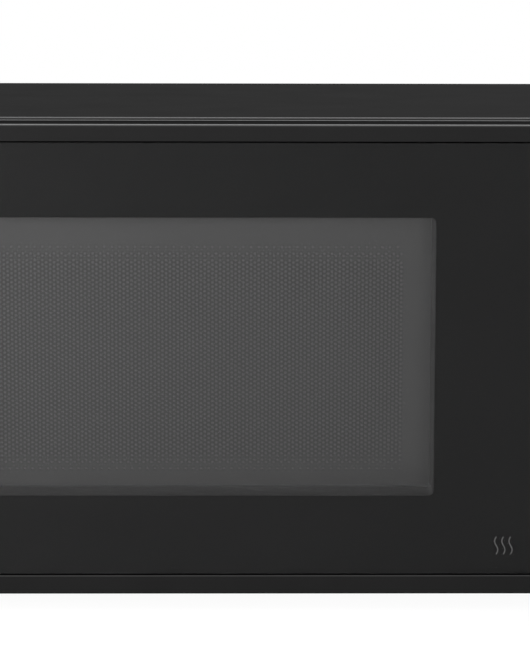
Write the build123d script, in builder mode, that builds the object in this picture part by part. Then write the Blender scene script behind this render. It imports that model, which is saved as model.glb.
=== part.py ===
from build123d import *
import math
import os

os.makedirs("parts", exist_ok=True)

# Countertop microwave oven with a side-hinged door, in millimetres. X runs to the right, Z up and the
# front faces -Y. The origin is at the centre of the footprint, on the surface that the feet stand on.

# Oven cavity and the spaces round it
cavity_width = 314.0
cavity_height = 208.0
cavity_depth = 300.0
cavity_corner = 10.0
side_gap = 35.0
bay_width = 127.0
floor_gap = 27.0
roof_gap = 28.0
rear_gap = 21.1
sheet = 0.8

# Feet, rear spacers and cord gland
foot_height = 9.0
foot_radius = 12.0
foot_taper = 2.0
foot_inset = 40.0
spacer_depth = 9.0
spacer_radius = 9.0
spacer_inset = 22.0
gland_bore = 4.0
gland_wall = 4.0
gland_flange = 3.0
gland_fit = 0.1
gland_rise = 34.0
gland_inset = 40.0

# Cabinet wrap, its turned-in edges and its screws
cabinet_corner = 5.0
cabinet_bend = 1.5
front_lip = 4.0
rear_lip = 11.0
base_flange = 14.0
screw_radius = 1.75
screw_fit = 0.05
screw_length = 8.0
screw_head_radius = 3.4
screw_head_height = 2.0
vent_length = 26.0
vent_width = 3.2
vent_pitch = 8.0
side_vents = 9
rear_vents = 8
base_vents = 7

# Bezels above and below the door
lower_bezel_height = 10.64
upper_bezel_height = 9.45
bezel_drop = 1.2
bezel_wall = 1.6
upper_bezel_round = 1.8
lower_bezel_round = 0.8
brow_width = 5.0
bezel_groove = 0.8
bezel_bead = 0.6
bezel_bead_width = 2.0

# Door and its window
door_depth = 36.0
seal_gap = 1.5
door_gap = 0.9
door_side_gap = 1.5
glass_thickness = 3.2
glass_edge = 0.4
wall = 2.5
reveal_wall = 2.0
window_width = 280.0
window_height = 155.1
window_lift = 1.75
window_corner = 3.0
screen_setback = 27.6
choke_margin = 10.0
pan_gap = 1.5
film_thickness = 0.5
film_margin = 12.0
cover_thickness = 2.0
cover_margin = 6.0
cover_fit = 0.3

# Door hinges
hinge_side = 8.0
hinge_back = 13.0
pin_radius = 3.0
pin_fit = 0.05
pin_engage = 12.0
pin_head_radius = 4.8
pin_head_height = 2.0
pin_hole_gap = 0.8
collar_gap = 0.1
bracket_thickness = 2.0
bracket_flange = 1.4
bracket_drop = 16.0
bracket_reach = 14.0
bracket_front = 7.0
bracket_gap = 0.3

# Latch bar, catch and release lever
latch_inset = 24.0
lower_hook_rise = 45.0
upper_hook_drop = 52.0
bar_width = 18.0
bar_thickness = 3.0
bar_overhang = 12.0
peg_radius = 2.5
peg_shoulder = 4.0
peg_height = 13.0
peg_offset = 24.0
slide_fit = 0.2
hook_width = 10.0
hook_height = 8.0
hook_slot_gap = 1.5
hook_swing = 3.0
nose_drop = 5.0
nose_length = 8.0
catch_depth = 6.0
catch_play = 0.3
catch_width = 16.0
board_inset = 6.0
lever_reach = 12.0
lever_rise = 12.0
lever_shaft = 3.0
lever_arm = 8.0
lever_half = 2.0
lever_play = 0.3
lug_width = 5.0
lug_wall = 2.2
switch_width = 6.0
switch_length = 28.0
switch_height = 16.0
switch_drop = 3.5
switch_gap = 0.2
plunger_radius = 1.0
plunger_length = 1.6
plunger_gap = 0.5
latch_spring_length = 14.0
latch_spring_radius = 3.5
spring_wall = 0.9

# Control panel
panel_width = 78.0
fascia_thickness = 2.5
panel_fit = 0.4
button_width = 60.0
button_rise = 9.0
button_rim = 4.4
button_face = 3.0
button_skirt = 2.0
button_flange = 1.5
button_travel = 4.0
button_spring_radius = 5.0
stem_width = 6.0
key_width = 26.0
key_height = 12.0
key_proud = 0.8
key_round = 0.5
key_travel = 0.8
key_stem = 2.0
key_switch = 3.0
key_pitch_x = 31.0
key_pitch_z = 18.0
keys_drop = 75.0
dial_drop = 132.0
dial_radius = 20.0
dial_height = 14.0
dial_gap = 0.5
dial_stem = 3.0
dial_round = 1.5
dial_notch = 1.2
dial_flutes = 24
encoder_size = 13.0
encoder_depth = 7.0
encoder_floor = 2.0
display_width = 60.0
display_height = 30.0
display_drop = 14.0
display_rim = 3.0
lens_fit = 0.1
board_standoff = 12.0
board_thickness = 1.6
board_margin = 6.0
board_post = 3.0
harness_width = 40.0
harness_height = 90.0

# Turntable
tray_radius = 127.5
tray_thickness = 5.0
tray_rim_width = 9.0
tray_rim_height = 7.0
tray_edge = 1.5
track_inset = 35.5
roller_radius = 7.8
roller_width = 8.0
roller_play = 0.2
axle_radius = 2.5
axle_fit = 0.05
axle_cap = 4.0
axle_cap_width = 2.0
ring_width = 6.0
ring_height = 5.0
spoke_width = 6.0
hub_wall = 3.0
hub_gap = 1.5
coupler_radius = 11.0
coupler_lift = 0.8
coupler_lobe = 4.0
coupler_lobe_height = 3.5
coupler_stem = 3.5
stem_engage = 8.0
shaft_hole = 9.0
motor_radius = 24.0
motor_height = 16.0
motor_ear = 7.0
lug_radius = 3.0
lug_gap = 0.4

# Oven lamp
lamp_inset = 90.0
lamp_drop = 30.0
lamp_box = 40.0
lamp_box_depth = 33.0
lamp_radius = 9.0
lamp_cap_radius = 7.0
lamp_cap_length = 8.0
lamp_length = 26.0
lamp_hole = 1.5
lamp_hole_pitch = 5.0
lamp_holes = 5
cavity_vent_columns = 9
cavity_vent_rows = 4

# Waveguide and magnetron
guide_depth = 36.0
guide_half = 42.0
guide_flange = 8.0
guide_height = 115.0
guide_drop = 26.0
guide_centre = 62.0
port_width = 60.0
port_height = 40.0
port_rise = 12.0
cover_lap = 8.0
cover_sheet = 0.6
magnetron_drop = 30.0
yoke_length = 46.0
yoke_width = 70.0
yoke_height = 88.0
yoke_sheet = 1.5
anode_radius = 18.0
fin_count = 8
fin_thickness = 0.8
fin_inset = 4.0
antenna_radius = 8.0
antenna_cap = 6.5
antenna_length = 24.0
antenna_cap_length = 10.0
antenna_gap = 1.0
filter_depth = 28.0
filter_width = 62.0
filter_height = 60.0
filter_wall = 1.2
filter_plug = 12.0

# Transformer and capacitor
core_width = 92.0
core_height = 74.0
core_stack = 52.0
core_leg = 32.0
core_window = 14.0
core_yoke = 15.0
core_foot = 1.5
core_foot_lap = 8.0
core_setback = 88.0
coil_fit = 0.25
coil_split = 2.0
coil_overhang = 13.0
can_length = 88.0
can_width = 52.0
can_height = 32.0
can_inset = 20.0
terminal_length = 9.0
terminal_width = 6.3
terminal_height = 12.0

# Cooling fan
fan_rise = 160.0
fan_radius = 46.0
fan_gap = 2.0
fan_hub = 12.0
fan_hub_length = 16.0
fan_blades = 5
fan_blade_chord = 20.0
fan_blade_thickness = 1.4
fan_blade_pitch = 32.0
fan_shaft = 2.5
fan_shaft_engage = 10.0
fan_clearance = 4.0
fan_motor_width = 58.0
fan_motor_height = 46.0
fan_motor_depth = 24.0
shroud_wall = 2.0
shroud_depth = 50.0
shroud_lap = 4.0

# Noise filter board and thermal cut-outs
filter_board_width = 60.0
filter_board_depth = 74.0
filter_board_lift = 6.0
filter_board_inset = 12.0
filter_post = 3.0
choke_radius = 9.0
choke_height = 12.0
fuse_length = 22.0
fuse_radius = 3.0
cutout_radius = 7.0
cutout_height = 6.0

# Depth, front to rear
body_depth = door_depth + seal_gap + 3 * sheet + cavity_depth + rear_gap + spacer_depth
front_y = dial_height - (body_depth + dial_height) / 2
door_back = front_y + door_depth
lip_front = door_back + seal_gap
plate_front = lip_front + sheet
cavity_front = plate_front + sheet
cavity_back = cavity_front + cavity_depth
cabinet_rear = cavity_back + sheet + rear_gap
panel_outer = cabinet_rear - sheet
panel_inner = panel_outer - sheet
cavity_y = (cavity_front + cavity_back) / 2

# Width, left to right
width = side_gap + cavity_width + bay_width
left_x = -width / 2
right_x = width / 2
cavity_left = left_x + side_gap
cavity_right = cavity_left + cavity_width
cavity_x = (cavity_left + cavity_right) / 2
bay_left = cavity_right + sheet
bay_right = right_x - sheet
bay_x = (bay_left + bay_right) / 2

# Height, floor to roof
base_top = foot_height + sheet
floor_z = foot_height + floor_gap
ceiling_z = floor_z + cavity_height
roof_z = ceiling_z + sheet
top_z = ceiling_z + roof_gap

# Door, bezels and control panel
door_left = left_x + door_side_gap
panel_left = right_x - panel_width
door_right = panel_left - door_gap
lower_bezel_top = foot_height + lower_bezel_height
door_bottom = lower_bezel_top + door_gap
bezel_top = top_z - bezel_drop
bezel_floor = bezel_top - bezel_groove
upper_bezel_bottom = bezel_top - upper_bezel_height
door_top = upper_bezel_bottom - door_gap
glass_back = front_y + glass_thickness
door_web = glass_back + wall
screen_front = front_y + screen_setback
screen_back = screen_front + sheet
film_back = screen_back + film_thickness
cover_front = door_back - cover_thickness
window_x = cavity_x
window_z = floor_z + cavity_height / 2 + window_lift
pan_left = cavity_left - choke_margin
pan_right = cavity_right + choke_margin
pan_bottom = floor_z - choke_margin
pan_top = ceiling_z + choke_margin
stile_right = pan_left - pan_gap
hinge_x = door_left + hinge_side
hinge_y = door_back - hinge_back

# Latch, catch and lever
latch_x = door_right - latch_inset
hook_heights = (door_bottom + lower_hook_rise, door_top - upper_hook_drop)
latch_travel = button_travel * lever_reach / lever_rise
bar_front = door_web + peg_height + slide_fit
bar_back = bar_front + bar_thickness
bar_y = (bar_front + bar_back) / 2
bar_bottom = hook_heights[0] - nose_drop
bar_top = hook_heights[1] + bar_overhang
peg_heights = (hook_heights[0] + peg_offset, hook_heights[1] - peg_offset)
latch_board_back = cavity_front + wall
catch_back = latch_board_back + catch_depth
nose_front = catch_back + catch_play
nose_back = nose_front + nose_length
lever_y = (nose_front + nose_back) / 2 + lever_reach
lever_z = hook_heights[0] - nose_drop - lever_play - lever_shaft
button_x = (panel_left + right_x) / 2
stem_z = lever_z + lever_rise
latch_board_left = bay_left + board_inset
latch_rib = latch_x + hook_width / 2 + hook_swing
lever_lug = button_x + lever_arm

# Control panel depths and heights
fascia_back = front_y + fascia_thickness
web_back = fascia_back + wall
board_front = web_back + board_standoff
board_back = board_front + board_thickness
button_bottom = door_bottom + button_rise
button_top = stem_z + button_rim
keys_z = door_top - keys_drop
dial_z = door_top - dial_drop
display_z = door_top - display_drop - display_height / 2
harness_z = (stem_z + stem_width + display_z - display_height / 2) / 2

# Turntable track and heights
track_radius = tray_radius - track_inset
axle_z = floor_z + roller_play + roller_radius
tray_bottom = axle_z + roller_radius + roller_play
tray_top = tray_bottom + tray_thickness

# Microwave bay
guide_right = bay_left + guide_depth
guide_y = cavity_y + guide_centre
guide_top = ceiling_z - guide_drop
guide_bottom = guide_top - guide_height
magnetron_z = guide_top - magnetron_drop
yoke_right = guide_right + yoke_length
lamp_y = cavity_front + lamp_inset
lamp_z = ceiling_z - lamp_drop
core_y = cavity_front + core_setback + core_stack / 2
fan_x = bay_x
fan_z = floor_z + fan_rise
fan_motor_front = panel_inner - fan_motor_depth
fan_back = fan_motor_front - fan_clearance
fan_y = fan_back - fan_hub_length / 2
shroud_front = panel_inner - shroud_depth
shroud_half = fan_radius + fan_gap + shroud_lap

beyond = 1.0


def block(x0, x1, y0, y1, z0, z1, mode=Mode.ADD):
    with Locations(((x0 + x1) / 2, (y0 + y1) / 2, (z0 + z1) / 2)):
        Box(x1 - x0, y1 - y0, z1 - z0, mode=mode)


def slab(x0, x1, z0, z1, y0, y1, corner, mode=Mode.ADD):
    with BuildSketch(Plane.XZ.offset(-y1)) as outline:
        with Locations(((x0 + x1) / 2, (z0 + z1) / 2)):
            RectangleRounded(x1 - x0, z1 - z0, corner)
    extrude(outline.sketch, amount=y1 - y0, mode=mode)


def rod(start, direction, radius, length, mode=Mode.ADD):
    with BuildSketch(Plane(origin=start, z_dir=direction)) as face:
        Circle(radius)
    extrude(face.sketch, amount=length, mode=mode)


def wrap(inset, front, rear, corner, mode=Mode.ADD):
    bottom = foot_height if mode == Mode.ADD else foot_height - beyond
    with BuildSketch(Plane.XZ.offset(-rear)) as outline:
        with Locations((0, (bottom + top_z - inset) / 2)):
            Rectangle(width - 2 * inset, top_z - inset - bottom)
        fillet(outline.vertices().group_by(Axis.Y)[-1], corner)
    extrude(outline.sketch, amount=rear - front, mode=mode)


def slots(plane, centre, count):
    with BuildSketch(plane) as pattern:
        with Locations(centre):
            with GridLocations(vent_pitch, 0, count, 1):
                SlotOverall(vent_length, vent_width, rotation=90)
    extrude(pattern.sketch, amount=beyond + sheet, mode=Mode.SUBTRACT)


# Cabinet wrap: top and two sides folded from one sheet, with a narrow lip turned in at the front and a
# wider one at the rear, where the screws go
screw_x = right_x - rear_lip / 2
screw_places = [
    (-screw_x, base_top + base_flange + screw_head_radius),
    (-screw_x, (floor_z + top_z) / 2),
    (-width / 4, top_z - rear_lip / 2),
    (width / 4, top_z - rear_lip / 2),
    (screw_x, (floor_z + top_z) / 2),
    (screw_x, base_top + base_flange + screw_head_radius),
]

with BuildPart() as outer_cabinet:
    wrap(0, lip_front, cabinet_rear, cabinet_corner)
    front_rim = outer_cabinet.faces().sort_by(Axis.Y)[0].edges().sort_by(Axis.Z)[1:]
    fillet(front_rim, cabinet_bend)
    wrap(sheet, plate_front, panel_outer, cabinet_corner - sheet, Mode.SUBTRACT)
    wrap(front_lip, lip_front - beyond, plate_front, cabinet_corner - sheet, Mode.SUBTRACT)
    wrap(rear_lip, panel_outer, cabinet_rear + beyond, cabinet_corner - sheet, Mode.SUBTRACT)
    slots(Plane.YZ.offset(bay_right), (core_y, floor_z), side_vents)
    slots(Plane.YZ.offset(bay_right), (guide_y, magnetron_z), side_vents)
    slots(Plane.YZ.offset(left_x - beyond), (guide_y, magnetron_z), side_vents)
    for place_x, place_z in screw_places:
        rod((place_x, panel_inner, place_z), (0, 1, 0), screw_radius + screw_fit, rear_gap, Mode.SUBTRACT)
outer_cabinet.part.label = "outer_cabinet"
export_step(outer_cabinet.part, "parts/outer_cabinet.step")

# Base plate with a flange up each side
with BuildPart() as base_plate:
    block(left_x + sheet, bay_right, cavity_front, panel_inner, foot_height, base_top)
    block(left_x + sheet, left_x + 2 * sheet, cavity_front, panel_inner, base_top, base_top + base_flange)
    block(bay_right - sheet, bay_right, cavity_front, panel_inner, base_top, base_top + base_flange)
    slots(Plane.XY.offset(foot_height - beyond), (bay_x, cavity_front + core_setback / 2), base_vents)
base_plate.part.label = "base_plate"
export_step(base_plate.part, "parts/base_plate.step")

# Rubber feet under the corners of the base
with BuildPart() as feet:
    with BuildSketch(Plane.XY) as foot_tips:
        with Locations((0, cavity_y)):
            with GridLocations(width - 2 * foot_inset, cavity_depth - 2 * foot_inset, 2, 2):
                Circle(foot_radius)
    extrude(amount=foot_height, taper=math.degrees(math.atan(-foot_taper / foot_height)))
feet.part.label = "feet"
export_step(feet.part, "parts/feet.step")

# Rear panel, held between the cabinet's rear lip and the base
gland_x = right_x - gland_inset
gland_z = foot_height + gland_rise
with BuildPart() as rear_panel:
    wrap(sheet, panel_inner, panel_outer, cabinet_corner - sheet)
    rear_plane = Plane.XZ.offset(-panel_outer - beyond)
    intake_z = fan_motor_height / 2 + vent_length / 2 + wall
    slots(rear_plane, (fan_x, fan_z + intake_z), rear_vents)
    slots(rear_plane, (fan_x, fan_z - intake_z), rear_vents)
    slots(rear_plane, (cavity_left + vent_length, fan_z), rear_vents)
    slots(rear_plane, (cavity_left + vent_length, fan_z - 2 * vent_length), rear_vents)
    gland_hole = gland_bore + gland_wall / 2 + gland_fit
    rod((gland_x, panel_inner, gland_z), (0, 1, 0), gland_hole, rear_gap, Mode.SUBTRACT)
    for place_x, place_z in screw_places:
        rod((place_x, panel_inner, place_z), (0, 1, 0), screw_radius + screw_fit, rear_gap, Mode.SUBTRACT)
rear_panel.part.label = "rear_panel"
export_step(rear_panel.part, "parts/rear_panel.step")

# Screws through the rear lip into the rear panel
with BuildPart() as cabinet_screws:
    for place_x, place_z in screw_places:
        tip_y = cabinet_rear - screw_length
        rod((place_x, tip_y, place_z), (0, 1, 0), screw_radius, screw_length)
        rod((place_x, cabinet_rear, place_z), (0, 1, 0), screw_head_radius, screw_head_height)
cabinet_screws.part.label = "cabinet_screws"
export_step(cabinet_screws.part, "parts/cabinet_screws.step")

# Spacers that keep the rear away from a wall
with BuildPart() as rear_spacers:
    for place_x in (left_x + spacer_inset, right_x - spacer_inset):
        place = (place_x, panel_outer, top_z - spacer_inset)
        rod(place, (0, 1, 0), spacer_radius, sheet + spacer_depth)
    tips = rear_spacers.faces().filter_by(GeomType.PLANE).group_by(Axis.Y)[-1].edges()
    fillet(tips, spacer_radius / 4)
rear_spacers.part.label = "rear_spacers"
export_step(rear_spacers.part, "parts/rear_spacers.step")

# Gland where the supply cord enters
with BuildPart() as cord_gland:
    gland_start = (gland_x, panel_inner - gland_flange, gland_z)
    rod((gland_x, panel_outer, gland_z), (0, 1, 0), gland_bore + gland_wall, gland_flange)
    rod(gland_start, (0, 1, 0), gland_bore + gland_wall / 2, gland_flange + sheet)
    rod(gland_start, (0, 1, 0), gland_bore, rear_gap, Mode.SUBTRACT)
cord_gland.part.label = "cord_gland"
export_step(cord_gland.part, "parts/cord_gland.step")

# Front plate round the mouth of the cavity
with BuildPart() as front_plate:
    wrap(sheet, plate_front, cavity_front, cabinet_corner - sheet)
    mouth = (cavity_left, cavity_right, floor_z, ceiling_z)
    slab(*mouth, plate_front - beyond, cavity_front + beyond, cavity_corner, Mode.SUBTRACT)
    for hook_z in hook_heights:
        block(
            latch_x - hook_width / 2 - hook_slot_gap,
            latch_x + hook_width / 2 + hook_swing,
            plate_front,
            cavity_front,
            hook_z - nose_drop - hook_slot_gap,
            hook_z + hook_height + latch_travel + hook_slot_gap,
            Mode.SUBTRACT,
        )
    block(
        button_x - harness_width / 2,
        button_x + harness_width / 2,
        plate_front,
        cavity_front,
        harness_z - harness_height / 2,
        harness_z + harness_height / 2,
        Mode.SUBTRACT,
    )
    rod((button_x, plate_front, stem_z), (0, 1, 0), stem_width, sheet, Mode.SUBTRACT)
front_plate.part.label = "front_plate"
export_step(front_plate.part, "parts/front_plate.step")

# Oven cavity, open at the front
with BuildPart() as oven_cavity:
    shell = (cavity_left - sheet, cavity_right + sheet, floor_z - sheet, ceiling_z + sheet)
    slab(*shell, cavity_front, cavity_back + sheet, cavity_corner + sheet)
    slab(*mouth, cavity_front - beyond, cavity_back, cavity_corner, Mode.SUBTRACT)
    rod((cavity_x, cavity_y, floor_z - sheet), (0, 0, 1), shaft_hole, sheet, Mode.SUBTRACT)
    with BuildSketch(Plane.YZ.offset(cavity_right - beyond)) as right_openings:
        with Locations((guide_y, guide_bottom + port_rise + port_height / 2)):
            Rectangle(port_width, port_height)
        with Locations((lamp_y, lamp_z)):
            with GridLocations(lamp_hole_pitch, lamp_hole_pitch, lamp_holes, lamp_holes):
                Circle(lamp_hole)
    extrude(amount=2 * beyond + sheet, mode=Mode.SUBTRACT)
    with BuildSketch(Plane.YZ.offset(cavity_left + beyond)) as left_openings:
        with Locations((guide_y, magnetron_z)):
            with GridLocations(lamp_hole_pitch, lamp_hole_pitch, cavity_vent_columns, cavity_vent_rows):
                Circle(lamp_hole)
    extrude(amount=-2 * beyond - sheet, mode=Mode.SUBTRACT)
oven_cavity.part.label = "oven_cavity"
export_step(oven_cavity.part, "parts/oven_cavity.step")

# Waveguide from the magnetron down to the port in the cavity wall
with BuildPart() as waveguide:
    block(
        bay_left,
        bay_left + sheet,
        guide_y - guide_half - guide_flange,
        guide_y + guide_half + guide_flange,
        guide_bottom - guide_flange,
        guide_top + guide_flange,
    )
    block(bay_left, guide_right, guide_y - guide_half, guide_y + guide_half, guide_bottom, guide_top)
    block(
        bay_left,
        guide_right - sheet,
        guide_y - guide_half + sheet,
        guide_y + guide_half - sheet,
        guide_bottom + sheet,
        guide_top - sheet,
        Mode.SUBTRACT,
    )
    antenna_hole = (guide_right - sheet, guide_y, magnetron_z)
    rod(antenna_hole, (1, 0, 0), antenna_radius + antenna_gap, sheet, Mode.SUBTRACT)
waveguide.part.label = "waveguide"
export_step(waveguide.part, "parts/waveguide.step")

# Mica cover over the port, inside the cavity
with BuildPart() as waveguide_cover:
    block(
        cavity_right - cover_sheet,
        cavity_right,
        guide_y - port_width / 2 - cover_lap,
        guide_y + port_width / 2 + cover_lap,
        guide_bottom + port_rise - cover_lap,
        guide_bottom + port_rise + port_height + cover_lap,
    )
waveguide_cover.part.label = "waveguide_cover"
export_step(waveguide_cover.part, "parts/waveguide_cover.step")

# Lamp holder against the outside of the cavity, open towards the pierced wall
with BuildPart() as lamp_holder:
    half = lamp_box / 2
    lamp_end = bay_left + lamp_box_depth
    block(bay_left, lamp_end, lamp_y - half, lamp_y + half, lamp_z - half, lamp_z + half)
    inner = half - filter_wall
    inside = (lamp_y - inner, lamp_y + inner, lamp_z - inner, lamp_z + inner)
    block(bay_left, lamp_end - filter_wall, *inside, Mode.SUBTRACT)
lamp_holder.part.label = "lamp_holder"
export_step(lamp_holder.part, "parts/lamp_holder.step")

# Bulb screwed into the end of its holder
with BuildPart() as oven_lamp:
    cap_end = lamp_end - filter_wall
    glass_start = cap_end - lamp_cap_length
    tip_x = cap_end - lamp_length + lamp_radius
    rod((cap_end, lamp_y, lamp_z), (-1, 0, 0), lamp_cap_radius, lamp_cap_length)
    rod((glass_start, lamp_y, lamp_z), (-1, 0, 0), lamp_radius, glass_start - tip_x)
    with Locations((tip_x, lamp_y, lamp_z)):
        Sphere(lamp_radius)
oven_lamp.part.label = "oven_lamp"
export_step(oven_lamp.part, "parts/oven_lamp.step")

# Turntable motor under the cavity floor, with two ears and a bore for the coupler's stem
with BuildPart() as turntable_motor:
    motor_top = floor_z - sheet
    rod((cavity_x, cavity_y, motor_top), (0, 0, -1), motor_radius, motor_height)
    ear = motor_radius + motor_ear
    block(
        cavity_x - ear,
        cavity_x + ear,
        cavity_y - motor_ear,
        cavity_y + motor_ear,
        motor_top - sheet,
        motor_top,
    )
    rod((cavity_x, cavity_y, motor_top), (0, 0, -1), coupler_stem + axle_fit, stem_engage, Mode.SUBTRACT)
turntable_motor.part.label = "turntable_motor"
export_step(turntable_motor.part, "parts/turntable_motor.step")

# Coupler: a stem down into the motor and a hub with three lobes under the tray
lobe_ring = coupler_radius - coupler_lobe / 2
with BuildPart() as turntable_coupler:
    hub_bottom = floor_z + coupler_lift
    hub_top = tray_bottom - coupler_lobe_height
    rod((cavity_x, cavity_y, hub_bottom), (0, 0, 1), coupler_radius, hub_top - hub_bottom)
    stem_length = hub_bottom - motor_top + stem_engage - coupler_lift
    rod((cavity_x, cavity_y, hub_bottom), (0, 0, -1), coupler_stem, stem_length)
    with BuildSketch(Plane.XY.offset(hub_top)) as lobes:
        with Locations((cavity_x, cavity_y)):
            Circle(coupler_lobe)
            with PolarLocations(lobe_ring / 2, 3):
                Rectangle(lobe_ring, coupler_lobe)
            with PolarLocations(lobe_ring, 3):
                Circle(coupler_lobe / 2)
    extrude(amount=coupler_lobe_height)
turntable_coupler.part.label = "turntable_coupler"
export_step(turntable_coupler.part, "parts/turntable_coupler.step")

# Glass tray with a raised rim and three lugs that sit between the coupler's lobes
with BuildPart() as turntable_tray:
    with BuildSketch(Plane.XZ) as tray_half:
        with BuildLine():
            rim_inner = tray_radius - tray_rim_width
            rim_top = tray_top + tray_rim_height
            Polyline(
                (0, tray_bottom),
                (rim_inner, tray_bottom),
                (tray_radius, rim_top - tray_edge),
                (tray_radius, rim_top),
                (tray_radius - tray_edge, rim_top),
                (rim_inner - tray_edge, tray_top),
                (0, tray_top),
                close=True,
            )
        make_face()
    revolve(axis=Axis.Z)
    with BuildSketch(Plane.XY.offset(tray_bottom)) as tray_lugs:
        with PolarLocations(coupler_lobe + lug_radius + lug_gap, 3, start_angle=60):
            Circle(lug_radius)
    extrude(amount=lug_gap - coupler_lobe_height)
turntable_tray.part = turntable_tray.part.moved(Location((cavity_x, cavity_y, 0)))
turntable_tray.part.label = "turntable_tray"
export_step(turntable_tray.part, "parts/turntable_tray.step")

# Roller ring: hub round the coupler, three spokes, a ring and three axles with end caps
roller_inner = track_radius - roller_width / 2
ring_outer = roller_inner - roller_play
ring_inner = ring_outer - ring_width
ring_hub = coupler_radius + hub_gap + hub_wall
axle_end = track_radius + roller_width / 2 + roller_play
spoke_angles = (90, 210, 330)

with BuildPart() as roller_ring:
    with BuildSketch(Plane.XY.offset(axle_z - ring_height / 2)) as ring_shape:
        with Locations((cavity_x, cavity_y)):
            Circle(ring_outer)
            Circle(ring_inner, mode=Mode.SUBTRACT)
            Circle(ring_hub)
            with PolarLocations((ring_hub + ring_inner) / 2, 3, start_angle=spoke_angles[0]):
                Rectangle(ring_inner - ring_hub + ring_width, spoke_width)
            Circle(ring_hub - hub_wall, mode=Mode.SUBTRACT)
    extrude(amount=ring_height)
    for angle in spoke_angles:
        out = Vector(math.cos(math.radians(angle)), math.sin(math.radians(angle)), 0)
        centre = Vector(cavity_x, cavity_y, axle_z)
        axle_root = ring_outer - ring_width / 2
        rod(centre + out * axle_root, out, axle_radius, axle_end - axle_root)
        rod(centre + out * axle_end, out, axle_cap, axle_cap_width)
roller_ring.part.label = "roller_ring"
export_step(roller_ring.part, "parts/roller_ring.step")

# Rollers on the ring's axles
for number, angle in enumerate(spoke_angles, start=1):
    with BuildPart() as roller:
        out = Vector(math.cos(math.radians(angle)), math.sin(math.radians(angle)), 0)
        start = Vector(cavity_x, cavity_y, axle_z) + out * roller_inner
        rod(start, out, roller_radius, roller_width)
        rod(start, out, axle_radius + axle_fit, roller_width, Mode.SUBTRACT)
    roller.part.label = f"roller_{number}"
    export_step(roller.part, f"parts/roller_{number}.step")

# Magnetron: steel yoke, anode with its cooling fins, antenna into the waveguide, filter box
with BuildPart() as magnetron_yoke:
    yoke_y = (guide_y - yoke_width / 2, guide_y + yoke_width / 2)
    yoke_z = (magnetron_z - yoke_height / 2, magnetron_z + yoke_height / 2)
    block(guide_right, yoke_right, *yoke_y, *yoke_z)
    block(
        guide_right + yoke_sheet,
        yoke_right - yoke_sheet,
        *yoke_y,
        yoke_z[0] + yoke_sheet,
        yoke_z[1] - yoke_sheet,
        Mode.SUBTRACT,
    )
    yoke_hole = (guide_right, guide_y, magnetron_z)
    rod(yoke_hole, (1, 0, 0), antenna_radius + antenna_gap, yoke_length, Mode.SUBTRACT)
magnetron_yoke.part.label = "magnetron_yoke"
export_step(magnetron_yoke.part, "parts/magnetron_yoke.step")

with BuildPart() as magnetron_fins:
    anode_start = guide_right + yoke_sheet
    anode_length = yoke_length - 2 * yoke_sheet
    rod((anode_start, guide_y, magnetron_z), (1, 0, 0), anode_radius, anode_length)
    fin_pitch = anode_length / (fin_count + 1)
    fin_half = (yoke_width / 2 - fin_inset, yoke_height / 2 - yoke_sheet - fin_inset)
    for fin in range(fin_count):
        fin_x = anode_start + (fin + 1) * fin_pitch - fin_thickness / 2
        block(
            fin_x,
            fin_x + fin_thickness,
            guide_y - fin_half[0],
            guide_y + fin_half[0],
            magnetron_z - fin_half[1],
            magnetron_z + fin_half[1],
        )
magnetron_fins.part.label = "magnetron_fins"
export_step(magnetron_fins.part, "parts/magnetron_fins.step")

with BuildPart() as magnetron_antenna:
    rod((anode_start, guide_y, magnetron_z), (-1, 0, 0), antenna_radius, antenna_length - antenna_cap_length)
    cap_start = anode_start - antenna_length + antenna_cap_length
    rod((cap_start, guide_y, magnetron_z), (-1, 0, 0), antenna_cap, antenna_cap_length)
magnetron_antenna.part.label = "magnetron_antenna"
export_step(magnetron_antenna.part, "parts/magnetron_antenna.step")

with BuildPart() as magnetron_filter_box:
    filter_right = yoke_right + filter_depth
    filter_y = (guide_y - filter_width / 2, guide_y + filter_width / 2)
    filter_z = (magnetron_z - filter_height / 2, magnetron_z + filter_height / 2)
    block(yoke_right, filter_right, *filter_y, *filter_z)
    block(
        yoke_right,
        filter_right - filter_wall,
        filter_y[0] + filter_wall,
        filter_y[1] - filter_wall,
        filter_z[0] + filter_wall,
        filter_z[1] - filter_wall,
        Mode.SUBTRACT,
    )
    block(
        yoke_right + filter_wall,
        filter_right - filter_wall,
        filter_y[0] - filter_plug,
        filter_y[0],
        magnetron_z - filter_plug / 2,
        magnetron_z + filter_plug / 2,
    )
magnetron_filter_box.part.label = "magnetron_filter_box"
export_step(magnetron_filter_box.part, "parts/magnetron_filter_box.step")

# Transformer: laminated core with two windows on a foot plate, and two windings round its middle leg
with BuildPart() as transformer_core:
    core_back = core_y + core_stack / 2
    core_bottom = base_top + core_foot
    block(
        bay_x - core_width / 2 - core_foot_lap,
        bay_x + core_width / 2 + core_foot_lap,
        core_y - core_stack / 2,
        core_back,
        base_top,
        core_bottom,
    )
    with BuildSketch(Plane.XZ.offset(-core_back)) as lamination:
        with Locations((bay_x, core_bottom + core_height / 2)):
            Rectangle(core_width, core_height)
            with GridLocations(core_leg + core_window, 0, 2, 1):
                Rectangle(core_window, core_height - 2 * core_yoke, mode=Mode.SUBTRACT)
    extrude(amount=core_stack)
transformer_core.part.label = "transformer_core"
export_step(transformer_core.part, "parts/transformer_core.step")

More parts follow.
